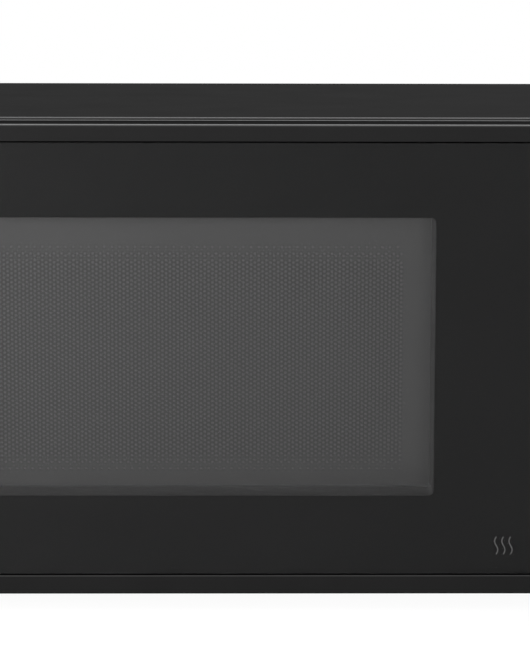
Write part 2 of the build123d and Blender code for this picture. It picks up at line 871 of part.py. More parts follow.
with BuildPart() as transformer_windings:
    window_floor = core_bottom + core_yoke + coil_fit
    coil_height = (core_height - 2 * core_yoke - 2 * coil_fit - coil_split) / 2
    coil_x = core_leg / 2 + core_window - coil_fit
    coil_y = core_stack / 2 + coil_overhang
    leg_x = core_leg / 2 + coil_fit
    leg_y = core_stack / 2 + coil_fit
    for level in range(2):
        with BuildSketch(Plane.XY.offset(window_floor + level * (coil_height + coil_split))) as coil:
            with Locations((bay_x, core_y)):
                RectangleRounded(2 * coil_x, 2 * coil_y, coil_overhang / 2)
                Rectangle(2 * leg_x, 2 * leg_y, mode=Mode.SUBTRACT)
        extrude(amount=coil_height)
transformer_windings.part.label = "transformer_windings"
export_step(transformer_windings.part, "parts/transformer_windings.step")

# Capacitor lying on the base, with two blade terminals
can_front = panel_inner - can_inset - can_length
with BuildPart() as hv_capacitor:
    with BuildSketch(Plane.XZ.offset(-can_front - can_length)) as can:
        with Locations((bay_x, base_top + can_height / 2)):
            SlotOverall(can_width, can_height)
    extrude(amount=can_length)
    for side in (-1, 1):
        blade_x = bay_x + side * can_width / 4
        block(
            blade_x - terminal_width / 2,
            blade_x + terminal_width / 2,
            can_front - terminal_length,
            can_front,
            base_top + can_height / 2 - terminal_height / 2,
            base_top + can_height / 2 + terminal_height / 2,
        )
hv_capacitor.part.label = "hv_capacitor"
export_step(hv_capacitor.part, "parts/hv_capacitor.step")

# Cooling fan: duct on the rear panel, motor with its shaft, blade wheel
with BuildPart() as fan_shroud:
    outer = shroud_half + shroud_wall
    block(fan_x - outer, fan_x + outer, shroud_front, panel_inner, fan_z - outer, fan_z + outer)
    duct = (fan_x - shroud_half, fan_x + shroud_half)
    duct_z = (fan_z - shroud_half, fan_z + shroud_half)
    block(*duct, shroud_front + shroud_wall, panel_inner, *duct_z, Mode.SUBTRACT)
    rod((fan_x, shroud_front, fan_z), (0, 1, 0), fan_radius + fan_gap, shroud_wall, Mode.SUBTRACT)
fan_shroud.part.label = "fan_shroud"
export_step(fan_shroud.part, "parts/fan_shroud.step")

with BuildPart() as fan_motor:
    block(
        fan_x - fan_motor_width / 2,
        fan_x + fan_motor_width / 2,
        fan_motor_front,
        panel_inner,
        fan_z - fan_motor_height / 2,
        fan_z + fan_motor_height / 2,
    )
    fillet(fan_motor.edges().filter_by(Axis.Y), fan_clearance)
    rod((fan_x, fan_motor_front, fan_z), (0, -1, 0), fan_shaft, fan_clearance + fan_shaft_engage)
fan_motor.part.label = "fan_motor"
export_step(fan_motor.part, "parts/fan_motor.step")

with BuildPart() as fan_blade:
    rod((fan_x, fan_back, fan_z), (0, -1, 0), fan_hub, fan_hub_length)
    for index in range(fan_blades):
        turn = 2 * math.pi * index / fan_blades
        pitch = math.radians(fan_blade_pitch)
        radial = Vector(math.cos(turn), 0, math.sin(turn))
        tangent = Vector(-math.sin(turn), 0, math.cos(turn))
        normal = Vector(0, math.cos(pitch), 0) + tangent * math.sin(pitch)
        with BuildSketch(Plane(origin=(fan_x, fan_y, fan_z), x_dir=radial, z_dir=normal)) as vane:
            with Locations((fan_radius / 2, 0)):
                Rectangle(fan_radius, fan_blade_chord)
        extrude(amount=fan_blade_thickness / 2, both=True)
    with BuildSketch(Plane.XZ.offset(-fan_back - fan_hub_length)) as rim:
        with Locations((fan_x, fan_z)):
            Circle(fan_radius)
    extrude(amount=3 * fan_hub_length, mode=Mode.INTERSECT)
    bore_depth = fan_shaft_engage + slide_fit
    rod((fan_x, fan_back, fan_z), (0, -1, 0), fan_shaft + axle_fit, bore_depth, Mode.SUBTRACT)
fan_blade.part.label = "fan_blade"
export_step(fan_blade.part, "parts/fan_blade.step")

# Noise filter board on posts over the cavity roof, with its choke and fuse
with BuildPart() as noise_filter_board:
    card_right = cavity_right - filter_board_inset
    card_left = card_right - filter_board_width
    card_back = cavity_back - filter_board_inset
    card_front = card_back - filter_board_depth
    card_bottom = roof_z + filter_board_lift
    card_top = card_bottom + board_thickness
    block(card_left, card_right, card_front, card_back, card_bottom, card_top)
    with Locations(((card_left + card_right) / 2, (card_front + card_back) / 2, roof_z)):
        spread = (filter_board_width - 4 * filter_post, filter_board_depth - 4 * filter_post)
        with GridLocations(*spread, 2, 2):
            Cylinder(filter_post, filter_board_lift, align=(Align.CENTER, Align.CENTER, Align.MIN))
    choke_y = card_front + 2 * choke_radius
    rod(((card_left + card_right) / 2, choke_y, card_top), (0, 0, 1), choke_radius, choke_height)
    fuse_x = (card_left + card_right - fuse_length) / 2
    fuse_start = (fuse_x, card_back - 3 * fuse_radius, card_top + fuse_radius / 2)
    rod(fuse_start, (1, 0, 0), fuse_radius, fuse_length)
noise_filter_board.part.label = "noise_filter_board"
export_step(noise_filter_board.part, "parts/noise_filter_board.step")

# Thermal cut-outs on the cavity roof and on top of the magnetron
with BuildPart() as thermal_cutouts:
    rod((cavity_x, cavity_y, roof_z), (0, 0, 1), cutout_radius, cutout_height)
    cutout_x = (guide_right + yoke_right) / 2
    rod((cutout_x, guide_y, yoke_z[1]), (0, 0, 1), cutout_radius, cutout_height)
thermal_cutouts.part.label = "thermal_cutouts"
export_step(thermal_cutouts.part, "parts/thermal_cutouts.step")

# Upper bezel: a channel open at the rear, with a rounded brow, a shallow valley behind it and a bead along
# the top's rear edge
with BuildPart() as upper_bezel:
    block(left_x, right_x, front_y, lip_front, upper_bezel_bottom, bezel_top)
    brow = upper_bezel.edges().filter_by(Axis.X).group_by(Axis.Y)[0].sort_by(Axis.Z)[-1]
    fillet(brow, upper_bezel_round)
    with BuildSketch(Plane.YZ.offset(left_x)) as valley:
        with BuildLine():
            Polyline(
                (front_y + brow_width, bezel_top + beyond),
                (front_y + brow_width, bezel_top),
                (front_y + 2 * brow_width, bezel_floor),
                (lip_front + beyond, bezel_floor),
                (lip_front + beyond, bezel_top + beyond),
                close=True,
            )
        make_face()
    extrude(amount=width, mode=Mode.SUBTRACT)
    with BuildSketch(Plane.YZ.offset(left_x)) as bead:
        with Locations((lip_front - bezel_bead_width / 2, bezel_floor)):
            Ellipse(bezel_bead_width / 2, bezel_bead)
    extrude(amount=width)
    block(
        left_x + bezel_wall,
        right_x - bezel_wall,
        front_y + bezel_wall,
        lip_front,
        upper_bezel_bottom + bezel_wall,
        bezel_floor - bezel_wall,
        Mode.SUBTRACT,
    )
    block(
        left_x + bezel_wall,
        right_x - bezel_wall,
        door_back,
        lip_front,
        upper_bezel_bottom,
        upper_bezel_bottom + bezel_wall,
        Mode.SUBTRACT,
    )
    pin_hole = pin_radius + pin_hole_gap
    rod((hinge_x, hinge_y, upper_bezel_bottom), (0, 0, 1), pin_hole, bezel_wall, Mode.SUBTRACT)
upper_bezel.part.label = "upper_bezel"
export_step(upper_bezel.part, "parts/upper_bezel.step")

# Lower bezel, a channel open at the rear
with BuildPart() as lower_bezel:
    block(left_x, right_x, front_y, lip_front, foot_height, lower_bezel_top)
    chin = lower_bezel.edges().filter_by(Axis.X).group_by(Axis.Y)[0].sort_by(Axis.Z)
    fillet(chin, lower_bezel_round)
    block(
        left_x + bezel_wall,
        right_x - bezel_wall,
        front_y + bezel_wall,
        lip_front,
        foot_height + bezel_wall,
        lower_bezel_top - bezel_wall,
        Mode.SUBTRACT,
    )
    block(
        left_x + bezel_wall,
        right_x - bezel_wall,
        door_back,
        lip_front,
        lower_bezel_top - bezel_wall,
        lower_bezel_top,
        Mode.SUBTRACT,
    )
    collar_hole = pin_head_radius + pin_hole_gap
    rod((hinge_x, hinge_y, lower_bezel_top), (0, 0, -1), collar_hole, bezel_wall, Mode.SUBTRACT)
lower_bezel.part.label = "lower_bezel"
export_step(lower_bezel.part, "parts/lower_bezel.step")

# Hinge brackets inside the bezels: each has a plate for the pin and a flange on the front plate
bracket_left = left_x + front_lip + bracket_gap
bracket_right = hinge_x + bracket_reach
upper_bracket = upper_bezel_bottom + bezel_wall + bracket_gap
lower_bracket = lower_bezel_top - bezel_wall - bracket_gap
upper_flange = (upper_bracket - bracket_drop, upper_bracket + bracket_thickness)
lower_flange = (lower_bracket - bracket_thickness, lower_bracket + bracket_drop)
with BuildPart() as hinge_brackets:
    for plate_z, flange in ((upper_bracket, upper_flange), (lower_bracket - bracket_thickness, lower_flange)):
        block(
            bracket_left,
            bracket_right,
            hinge_y - bracket_front,
            plate_front,
            plate_z,
            plate_z + bracket_thickness,
        )
        block(bracket_left, bracket_right, plate_front - bracket_flange, plate_front, *flange)
        hole = (hinge_x, hinge_y, plate_z)
        rod(hole, (0, 0, 1), pin_radius + pin_fit, bracket_thickness, Mode.SUBTRACT)
hinge_brackets.part.label = "hinge_brackets"
export_step(hinge_brackets.part, "parts/hinge_brackets.step")

# Hinge pins: the upper one hangs by its head, the lower one carries the door on its collar
with BuildPart() as hinge_pins:
    upper_head = upper_bracket + bracket_thickness
    rod((hinge_x, hinge_y, upper_head), (0, 0, 1), pin_head_radius, pin_head_height)
    rod((hinge_x, hinge_y, upper_head), (0, 0, -1), pin_radius, upper_head - door_top + pin_engage)
    lower_foot = lower_bracket - bracket_thickness
    rod((hinge_x, hinge_y, lower_foot), (0, 0, 1), pin_radius, door_bottom + pin_engage - lower_foot)
    collar_height = door_bottom - collar_gap - lower_bracket
    rod((hinge_x, hinge_y, lower_bracket), (0, 0, 1), pin_head_radius, collar_height)
hinge_pins.part.label = "hinge_pins"
export_step(hinge_pins.part, "parts/hinge_pins.step")

# Door frame: a moulded ring with a reveal round the window, a solid stile at the hinge whose rear corner
# is round about the hinge axis, two pegs for the latch bar and a shelf for its spring
with BuildPart() as door_frame:
    corner_rise = math.sqrt(hinge_back**2 - hinge_side**2)
    corner_turn = (math.pi / 2 + math.atan2(corner_rise, -hinge_side)) / 2
    with BuildSketch(Plane.XY.offset(door_bottom)) as door_plan:
        with BuildLine():
            corner_end = (door_left, hinge_y + corner_rise)
            corner_middle = (
                hinge_x + hinge_back * math.cos(corner_turn),
                hinge_y + hinge_back * math.sin(corner_turn),
            )
            Polyline(
                corner_end,
                (door_left, glass_back),
                (door_right, glass_back),
                (door_right, door_back),
                (hinge_x, door_back),
            )
            ThreePointArc((hinge_x, door_back), corner_middle, corner_end)
        make_face()
    extrude(amount=door_top - door_bottom)
    pocket = (stile_right, door_right - wall, door_bottom + wall, door_top - wall)
    window = (
        window_x - window_width / 2,
        window_x + window_width / 2,
        window_z - window_height / 2,
        window_z + window_height / 2,
    )
    reveal = (
        window[0] - reveal_wall,
        window[1] + reveal_wall,
        window[2] - reveal_wall,
        window[3] + reveal_wall,
    )
    block(*pocket[:2], door_web, door_back, *pocket[2:], Mode.SUBTRACT)
    slab(*reveal, door_web, screen_front, window_corner + reveal_wall)
    slab(*window, glass_back, door_back, window_corner, Mode.SUBTRACT)
    for peg_z in peg_heights:
        rod((latch_x, door_web, peg_z), (0, 1, 0), peg_shoulder, peg_height)
        rod((latch_x, door_web, peg_z), (0, 1, 0), peg_radius, bar_back + slide_fit - door_web)
    shelf_z = bar_top + latch_spring_length
    shelf_half = latch_spring_radius + wall
    block(
        latch_x - shelf_half,
        latch_x + shelf_half,
        door_web,
        bar_y + latch_spring_radius,
        shelf_z,
        shelf_z + wall,
    )
    bore_radius = pin_radius + pin_fit
    bore_length = pin_engage + collar_gap
    rod((hinge_x, hinge_y, door_top), (0, 0, -1), bore_radius, bore_length, Mode.SUBTRACT)
    rod((hinge_x, hinge_y, door_bottom), (0, 0, 1), bore_radius, bore_length, Mode.SUBTRACT)
door_frame.part.label = "door_frame"
export_step(door_frame.part, "parts/door_frame.step")

# Glass over the whole front of the door
with BuildPart() as door_glass:
    block(door_left, door_right, front_y, glass_back, door_bottom, door_top)
    chamfer(door_glass.faces().sort_by(Axis.Y)[0].edges(), glass_edge)
door_glass.part.label = "door_glass"
export_step(door_glass.part, "parts/door_glass.step")

# Steel screen: a pan whose rim forms the choke round the window
with BuildPart() as door_screen:
    block(pan_left, pan_right, screen_front, cover_front, pan_bottom, pan_top)
    block(
        pan_left + sheet,
        pan_right - sheet,
        screen_back,
        cover_front,
        pan_bottom + sheet,
        pan_top - sheet,
        Mode.SUBTRACT,
    )
door_screen.part.label = "door_screen"
export_step(door_screen.part, "parts/door_screen.step")

# Film on the oven side of the screen
with BuildPart() as inner_film:
    block(
        window[0] - film_margin,
        window[1] + film_margin,
        screen_back,
        film_back,
        window[2] - film_margin,
        window[3] + film_margin,
    )
inner_film.part.label = "inner_film"
export_step(inner_film.part, "parts/inner_film.step")

# Choke cover: closes the rear of the door, with a rim down to the film and slots for the hooks
with BuildPart() as choke_cover:
    opening = (
        window[0] - cover_margin,
        window[1] + cover_margin,
        window[2] - cover_margin,
        window[3] + cover_margin,
    )
    block(
        pocket[0] + cover_fit,
        pocket[1] - cover_fit,
        cover_front,
        door_back,
        pocket[2] + cover_fit,
        pocket[3] - cover_fit,
    )
    block(
        opening[0] - cover_thickness,
        opening[1] + cover_thickness,
        film_back,
        cover_front,
        opening[2] - cover_thickness,
        opening[3] + cover_thickness,
    )
    slab(*opening, film_back, door_back, window_corner, Mode.SUBTRACT)
    for hook_z in hook_heights:
        block(
            latch_x - hook_width / 2 - hook_slot_gap,
            latch_x + hook_width / 2 + hook_slot_gap,
            cover_front,
            door_back,
            hook_z - nose_drop - hook_slot_gap,
            hook_z + hook_height + latch_travel + hook_slot_gap,
            Mode.SUBTRACT,
        )
choke_cover.part.label = "choke_cover"
export_step(choke_cover.part, "parts/choke_cover.step")

# Latch bar in the door's free edge: two hooks that drop behind the catches, slotted over the frame's pegs
with BuildPart() as latch_bar:
    block(latch_x - bar_width / 2, latch_x + bar_width / 2, bar_front, bar_back, bar_bottom, bar_top)
    for peg_z in peg_heights:
        slot_half = peg_radius + slide_fit
        block(
            latch_x - slot_half,
            latch_x + slot_half,
            bar_front,
            bar_back,
            peg_z - slot_half - latch_travel,
            peg_z + slot_half,
            Mode.SUBTRACT,
        )
    for hook_z in hook_heights:
        hook_x = (latch_x - hook_width / 2, latch_x + hook_width / 2)
        block(*hook_x, bar_front, nose_back, hook_z, hook_z + hook_height)
        block(*hook_x, nose_front, nose_back, hook_z - nose_drop, hook_z)
latch_bar.part.label = "latch_bar"
export_step(latch_bar.part, "parts/latch_bar.step")

# Coil spring that pushes the latch bar down, as the sleeve that it fills
with BuildPart() as latch_spring:
    rod((latch_x, bar_y, bar_top), (0, 0, 1), latch_spring_radius, latch_spring_length)
    inner_radius = latch_spring_radius - spring_wall
    rod((latch_x, bar_y, bar_top), (0, 0, 1), inner_radius, latch_spring_length, Mode.SUBTRACT)
latch_spring.part.label = "latch_spring"
export_step(latch_spring.part, "parts/latch_spring.step")

# Latch board behind the front plate: catches, ribs that carry the switches and lugs for the lever
with BuildPart() as latch_board:
    board_bottom = lever_z - lever_shaft - lug_wall
    lug_half = lever_shaft + lug_wall
    block(
        latch_board_left,
        latch_rib + wall,
        cavity_front,
        latch_board_back,
        board_bottom,
        hook_heights[1] + switch_height,
    )
    block(
        latch_rib,
        lever_lug + lug_width,
        cavity_front,
        latch_board_back,
        board_bottom,
        stem_z + stem_width + wall,
    )
    for hook_z in hook_heights:
        block(
            latch_x - hook_width / 2 - hook_slot_gap,
            latch_rib,
            cavity_front,
            latch_board_back,
            hook_z - nose_drop - hook_slot_gap,
            hook_z + hook_height + latch_travel + hook_slot_gap,
            Mode.SUBTRACT,
        )
        block(
            latch_x - catch_width / 2,
            latch_x + catch_width / 2,
            cavity_front,
            catch_back,
            hook_z - nose_drop - hook_slot_gap,
            hook_z - catch_play,
        )
        block(
            latch_rib,
            latch_rib + wall,
            latch_board_back,
            nose_back + plunger_gap + plunger_length + switch_length,
            hook_z - switch_drop,
            hook_z - switch_drop + switch_height,
        )
    for lug_x in (latch_board_left, lever_lug):
        block(
            lug_x,
            lug_x + lug_width,
            latch_board_back,
            lever_y + lug_half,
            lever_z - lug_half,
            lever_z + lug_half,
        )
        start = (lug_x, lever_y, lever_z)
        rod(start, (1, 0, 0), lever_shaft + axle_fit, lug_width, Mode.SUBTRACT)
    rod((button_x, cavity_front, stem_z), (0, 1, 0), stem_width, wall, Mode.SUBTRACT)
latch_board.part.label = "latch_board"
export_step(latch_board.part, "parts/latch_board.step")

# Interlock switches beside the ribs, one at the lower hook and two at the upper
with BuildPart() as interlock_switches:
    switch_front = nose_back + plunger_gap + plunger_length
    for hook_z, count in zip(hook_heights, (1, 2)):
        for row in range(count):
            switch_right = latch_rib - row * (switch_width + switch_gap)
            block(
                switch_right - switch_width,
                switch_right,
                switch_front,
                switch_front + switch_length,
                hook_z - switch_drop,
                hook_z - switch_drop + switch_height,
            )
            plunger = (switch_right - switch_width / 2, switch_front, hook_z + hook_height / 2)
            rod(plunger, (0, -1, 0), plunger_radius, plunger_length)
interlock_switches.part.label = "interlock_switches"
export_step(interlock_switches.part, "parts/interlock_switches.step")

# Release lever: a cross shaft with one arm up to the door button and one arm forward under the lower hook
with BuildPart() as release_lever:
    shaft_length = lever_lug + lug_width - latch_board_left
    rod((latch_board_left, lever_y, lever_z), (1, 0, 0), lever_shaft, shaft_length)
    block(
        button_x - lever_arm / 2,
        button_x + lever_arm / 2,
        lever_y - lever_half,
        lever_y + lever_half,
        lever_z,
        stem_z + 2 * lever_half,
    )
    pad_z = lever_z + lever_shaft - lever_half
    block(
        latch_x - lever_arm / 2,
        latch_x + lever_arm / 2,
        lever_y - lever_reach,
        lever_y,
        lever_z - lever_half / 2,
        pad_z + lever_half / 2,
    )
    rod((latch_x - lever_arm / 2, lever_y - lever_reach, pad_z), (1, 0, 0), lever_half, lever_arm)
release_lever.part.label = "release_lever"
export_step(release_lever.part, "parts/release_lever.step")

# Control housing: a box open at the rear, with cut-outs behind the fascia and posts for the board
button_side = (button_x - button_width / 2, button_x + button_width / 2)
display_side = (button_x - display_width / 2, button_x + display_width / 2)
display_ends = (display_z - display_height / 2, display_z + display_height / 2)
key_places = [
    (button_x + side * key_pitch_x / 2, keys_z + row * key_pitch_z / 2)
    for row in (1, -1)
    for side in (-1, 1)
]
board_left = panel_left + board_margin
board_right = right_x - board_margin
board_low = dial_z - dial_radius - board_margin
board_high = display_ends[1] + board_margin


def panel_openings(front, back):
    block(
        button_side[0] - panel_fit,
        button_side[1] + panel_fit,
        front,
        back,
        button_bottom - panel_fit,
        button_top + panel_fit,
        Mode.SUBTRACT,
    )
    for place_x, place_z in key_places:
        block(
            place_x - key_width / 2 - panel_fit,
            place_x + key_width / 2 + panel_fit,
            front,
            back,
            place_z - key_height / 2 - panel_fit,
            place_z + key_height / 2 + panel_fit,
            Mode.SUBTRACT,
        )
    rod((button_x, front, dial_z), (0, 1, 0), dial_stem + beyond, back - front, Mode.SUBTRACT)


with BuildPart() as control_housing:
    block(panel_left, right_x, fascia_back, lip_front, lower_bezel_top, upper_bezel_bottom)
    block(
        panel_left + wall,
        right_x - wall,
        web_back,
        lip_front,
        lower_bezel_top + wall,
        upper_bezel_bottom - wall,
        Mode.SUBTRACT,
    )
    panel_openings(fascia_back, web_back)
    block(
        display_side[0] + display_rim,
        display_side[1] - display_rim,
        fascia_back,
        web_back,
        display_ends[0] + display_rim,
        display_ends[1] - display_rim,
        Mode.SUBTRACT,
    )
    for post_x in (board_left + board_post, board_right - board_post):
        for post_z in (board_low + board_post, board_high - board_post):
            rod((post_x, web_back, post_z), (0, 1, 0), board_post, board_standoff)
control_housing.part.label = "control_housing"
export_step(control_housing.part, "parts/control_housing.step")

# Fascia on the front of the housing
with BuildPart() as control_fascia:
    block(panel_left, right_x, front_y, fascia_back, door_bottom, door_top)
    chamfer(control_fascia.faces().sort_by(Axis.Y)[0].edges(), glass_edge)
    panel_openings(front_y, fascia_back)
    block(*display_side, front_y, fascia_back, *display_ends, Mode.SUBTRACT)
control_fascia.part.label = "control_fascia"
export_step(control_fascia.part, "parts/control_fascia.step")

# Display lens in the fascia, and the display module behind the housing's window
with BuildPart() as display_lens:
    block(
        display_side[0] + lens_fit,
        display_side[1] - lens_fit,
        front_y,
        fascia_back,
        display_ends[0] + lens_fit,
        display_ends[1] - lens_fit,
    )
display_lens.part.label = "display_lens"
export_step(display_lens.part, "parts/display_lens.step")

with BuildPart() as display_module:
    block(*display_side, web_back, board_front, *display_ends)
display_module.part.label = "display_module"
export_step(display_module.part, "parts/display_module.step")

# Control board on the housing's posts, with a small switch behind each key
with BuildPart() as control_board:
    block(board_left, board_right, board_front, board_back, board_low, board_high)
    for place_x, place_z in key_places:
        block(
            place_x - key_switch,
            place_x + key_switch,
            board_front - key_switch,
            board_front,
            place_z - key_switch,
            place_z + key_switch,
        )
control_board.part.label = "control_board"
export_step(control_board.part, "parts/control_board.step")

# Keys: a cap through the fascia, a flange behind the housing's web and a stem to its switch
for number, (place_x, place_z) in enumerate(key_places, start=1):
    with BuildPart() as key:
        flange_front = web_back + slide_fit
        flange_back = flange_front + button_flange
        key_side = (place_x - key_width / 2, place_x + key_width / 2)
        key_ends = (place_z - key_height / 2, place_z + key_height / 2)
        block(*key_side, front_y - key_proud, flange_front, *key_ends)
        fillet(key.faces().sort_by(Axis.Y)[0].edges(), key_round)
        block(
            key_side[0] - button_flange,
            key_side[1] + button_flange,
            flange_front,
            flange_back,
            key_ends[0] - button_flange,
            key_ends[1] + button_flange,
        )
        stem_end = board_front - key_switch - key_travel - slide_fit
        rod((place_x, flange_back, place_z), (0, 1, 0), key_stem, stem_end - flange_back)
    key.part.label = f"key_{number}"
    export_step(key.part, f"parts/key_{number}.step")

# Dial knob with a fluted grip, a pointer notch and a stem down into the encoder
with BuildPart() as dial_knob:
    knob_front = front_y - dial_height
    rod((button_x, knob_front, dial_z), (0, 1, 0), dial_radius, dial_height - dial_gap)
    fillet(dial_knob.faces().sort_by(Axis.Y)[0].edges(), dial_round)
    with BuildSketch(Plane.XZ.offset(-front_y)) as flutes:
        with Locations((button_x, dial_z)):
            with PolarLocations(dial_radius, dial_flutes):
                Circle(dial_notch / 2)
    extrude(amount=dial_height - 2 * dial_round, mode=Mode.SUBTRACT)
    block(
        button_x - dial_notch / 2,
        button_x + dial_notch / 2,
        knob_front,
        knob_front + dial_notch,
        dial_z + dial_radius / 2,
        dial_z + dial_radius,
        Mode.SUBTRACT,
    )
    stem_start = front_y - dial_gap
    rod((button_x, stem_start, dial_z), (0, 1, 0), dial_stem, board_front - encoder_floor - stem_start)
dial_knob.part.label = "dial_knob"
export_step(dial_knob.part, "parts/dial_knob.step")

with BuildPart() as dial_encoder:
    block(
        button_x - encoder_size / 2,
        button_x + encoder_size / 2,
        board_front - encoder_depth,
        board_front,
        dial_z - encoder_size / 2,
        dial_z + encoder_size / 2,
    )
    rod(
        (button_x, board_front - encoder_depth, dial_z),
        (0, 1, 0),
        dial_stem + axle_fit,
        encoder_depth - encoder_floor + slide_fit,
        Mode.SUBTRACT,
    )
dial_encoder.part.label = "dial_encoder"
export_step(dial_encoder.part, "parts/dial_encoder.step")

# Door button: a hollow cap with a flange behind the web and a long stem back to the release lever
with BuildPart() as door_button:
    cap_back = web_back + slide_fit
    block(*button_side, front_y, cap_back, button_bottom, button_top)
    fillet(door_button.faces().sort_by(Axis.Y)[0].edges(), key_round)
    block(
        button_side[0] - button_flange,
        button_side[1] + button_flange,
        cap_back,
        cap_back + button_flange,
        button_bottom - button_flange,
        button_top + button_flange,
    )
    block(
        button_side[0] + button_skirt,
        button_side[1] - button_skirt,
        front_y + button_face,
        cap_back + button_flange,
        button_bottom + button_skirt,
        button_top - button_skirt,
        Mode.SUBTRACT,
    )
    nose_y = lever_y - lever_half - lever_play - lever_half
    block(
        button_x - stem_width / 2,
        button_x + stem_width / 2,
        front_y + button_face,
        nose_y,
        stem_z - lever_half,
        stem_z + lever_half,
    )
    rod((button_x - stem_width / 2, nose_y, stem_z), (1, 0, 0), lever_half, stem_width)
door_button.part.label = "door_button"
export_step(door_button.part, "parts/door_button.step")

# Coil spring that returns the door button, as the sleeve that it fills
with BuildPart() as button_spring:
    spring_front = (button_x, front_y + button_face, button_bottom + button_skirt + 2 * button_spring_radius)
    spring_length = plate_front - front_y - button_face
    rod(spring_front, (0, 1, 0), button_spring_radius, spring_length)
    inner_radius = button_spring_radius - spring_wall
    rod(spring_front, (0, 1, 0), inner_radius, spring_length, Mode.SUBTRACT)
button_spring.part.label = "button_spring"
export_step(button_spring.part, "parts/button_spring.step")

print("overall", width, body_depth + dial_height, top_z)
print("front", round(front_y, 3), "hinge", round(hinge_x, 3), round(hinge_y, 3))
print("turntable", round(cavity_x, 3), round(cavity_y, 3))
print("roller ratio", round(-track_radius / (2 * roller_radius), 6))
print("lever", round(lever_y, 3), round(lever_z, 3), "fan", round(fan_x, 3), round(fan_y, 3), round(fan_z, 3))
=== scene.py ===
import bmesh
import bpy
import math
from mathutils import Matrix, Vector


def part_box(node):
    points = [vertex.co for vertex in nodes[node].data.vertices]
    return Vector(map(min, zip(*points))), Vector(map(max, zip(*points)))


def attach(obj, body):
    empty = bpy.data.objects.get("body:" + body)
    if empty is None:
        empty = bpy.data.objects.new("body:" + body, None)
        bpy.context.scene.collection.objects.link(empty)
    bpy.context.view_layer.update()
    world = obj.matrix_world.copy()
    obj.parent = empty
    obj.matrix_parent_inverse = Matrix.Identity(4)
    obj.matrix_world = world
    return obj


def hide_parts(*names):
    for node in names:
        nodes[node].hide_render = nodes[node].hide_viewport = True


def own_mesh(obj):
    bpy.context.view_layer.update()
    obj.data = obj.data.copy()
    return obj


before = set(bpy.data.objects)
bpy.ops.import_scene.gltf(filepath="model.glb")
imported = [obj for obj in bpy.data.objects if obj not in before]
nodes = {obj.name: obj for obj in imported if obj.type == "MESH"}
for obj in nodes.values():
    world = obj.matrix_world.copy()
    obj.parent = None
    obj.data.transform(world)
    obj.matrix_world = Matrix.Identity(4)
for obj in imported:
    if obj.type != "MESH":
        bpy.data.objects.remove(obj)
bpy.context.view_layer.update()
mm = 0.001
print("frame loaded,", len(nodes), "nodes")

# places that the pieces are built from, read from the frame
glassLow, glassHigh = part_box("door_glass")
panLow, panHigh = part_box("door_screen")
filmLow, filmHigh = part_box("inner_film")
moduleLow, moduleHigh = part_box("display_module")
dialLow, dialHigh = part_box("dial_knob")
trayLow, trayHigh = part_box("turntable_tray")
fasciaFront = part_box("control_fascia")[0].y
dialCentre = (dialLow + dialHigh) / 2
filmMargin = 12 * mm  # the film laps the window by this much on each side
windowLeft, windowRight = filmLow.x + filmMargin, filmHigh.x - filmMargin
windowBottom, windowTop = filmLow.z + filmMargin, filmHigh.z - filmMargin
sheet = filmLow.y - panLow.y  # thickness of the steel screen


# shader helpers
finishes = {}
pureWhite = (1.0, 1.0, 1.0, 1.0)
fineDetail, cloudDetail = 4.0, 2.0  # of the noise in a fine grain and in a soft cloud


def grey(level, blue=None):  # a neutral tone, its blue a touch off where given
    return (level, level, level if blue is None else blue)


def addNode(tree, kind, inputs=None, **settings):
    made = tree.nodes.new("ShaderNode" + kind)
    for key, value in settings.items():
        setattr(made, key, value)
    for key, value in (inputs or {}).items():
        if isinstance(value, bpy.types.NodeSocket):
            tree.links.new(value, made.inputs[key])
        else:
            made.inputs[key].default_value = value
    return made


def addFinish(name, build, *looks):  # build adds the nodes and gives back the last shader
    material = bpy.data.materials.new(name)
    material.use_nodes = True
    tree = material.node_tree
    tree.nodes.clear()
    addNode(tree, "OutputMaterial", {"Surface": build(tree, *looks)})
    finishes[name] = material


def grain(tree, scale, detail=3.0, stretch=None):
    place = addNode(tree, "TexCoord").outputs["Object"]
    if stretch:
        place = addNode(tree, "Mapping", {"Vector": place, "Scale": stretch}).outputs["Vector"]
    return addNode(tree, "TexNoise", {"Vector": place, "Scale": scale, "Detail": detail}).outputs["Fac"]


def cells(tree, scale, output="Color"):
    place = addNode(tree, "TexCoord").outputs["Object"]
    return addNode(tree, "TexVoronoi", {"Vector": place, "Scale": scale}).outputs[output]


def spread(tree, value, low=0.0, high=1.0, start=0.3, end=0.7):
    ranged = addNode(tree, "MapRange", {"Value": value, "From Min": start, "From Max": end})
    ranged.inputs["To Min"].default_value = low
    ranged.inputs["To Max"].default_value = high
    return ranged.outputs["Result"]


def blendColour(tree, factor, dark, light):
    mixed = addNode(tree, "Mix", data_type="RGBA")
    tree.links.new(factor, mixed.inputs[0])
    for socket, colour in ((mixed.inputs[6], dark), (mixed.inputs[7], light)):
        if isinstance(colour, bpy.types.NodeSocket):
            tree.links.new(colour, socket)
        else:
            socket.default_value = (*colour, 1.0)
    return mixed.outputs[2]


def relief(tree, height, strength, depth):
    bump = addNode(tree, "Bump", {"Height": height, "Strength": strength, "Distance": depth})
    return bump.outputs["Normal"]


def variedSurface(tree, colour, normal, rough, constants):
    inputs = {"Base Color": colour, "Normal": normal, "Roughness": rough, **constants}
    return addNode(tree, "BsdfPrincipled", inputs).outputs[0]


# the normal's largest part on rounded and flat faces, and its upright part on faces that look down or level
edgeLook = {"rounded": 0.75, "flat": 0.99, "down": -0.2, "level": 0.0}


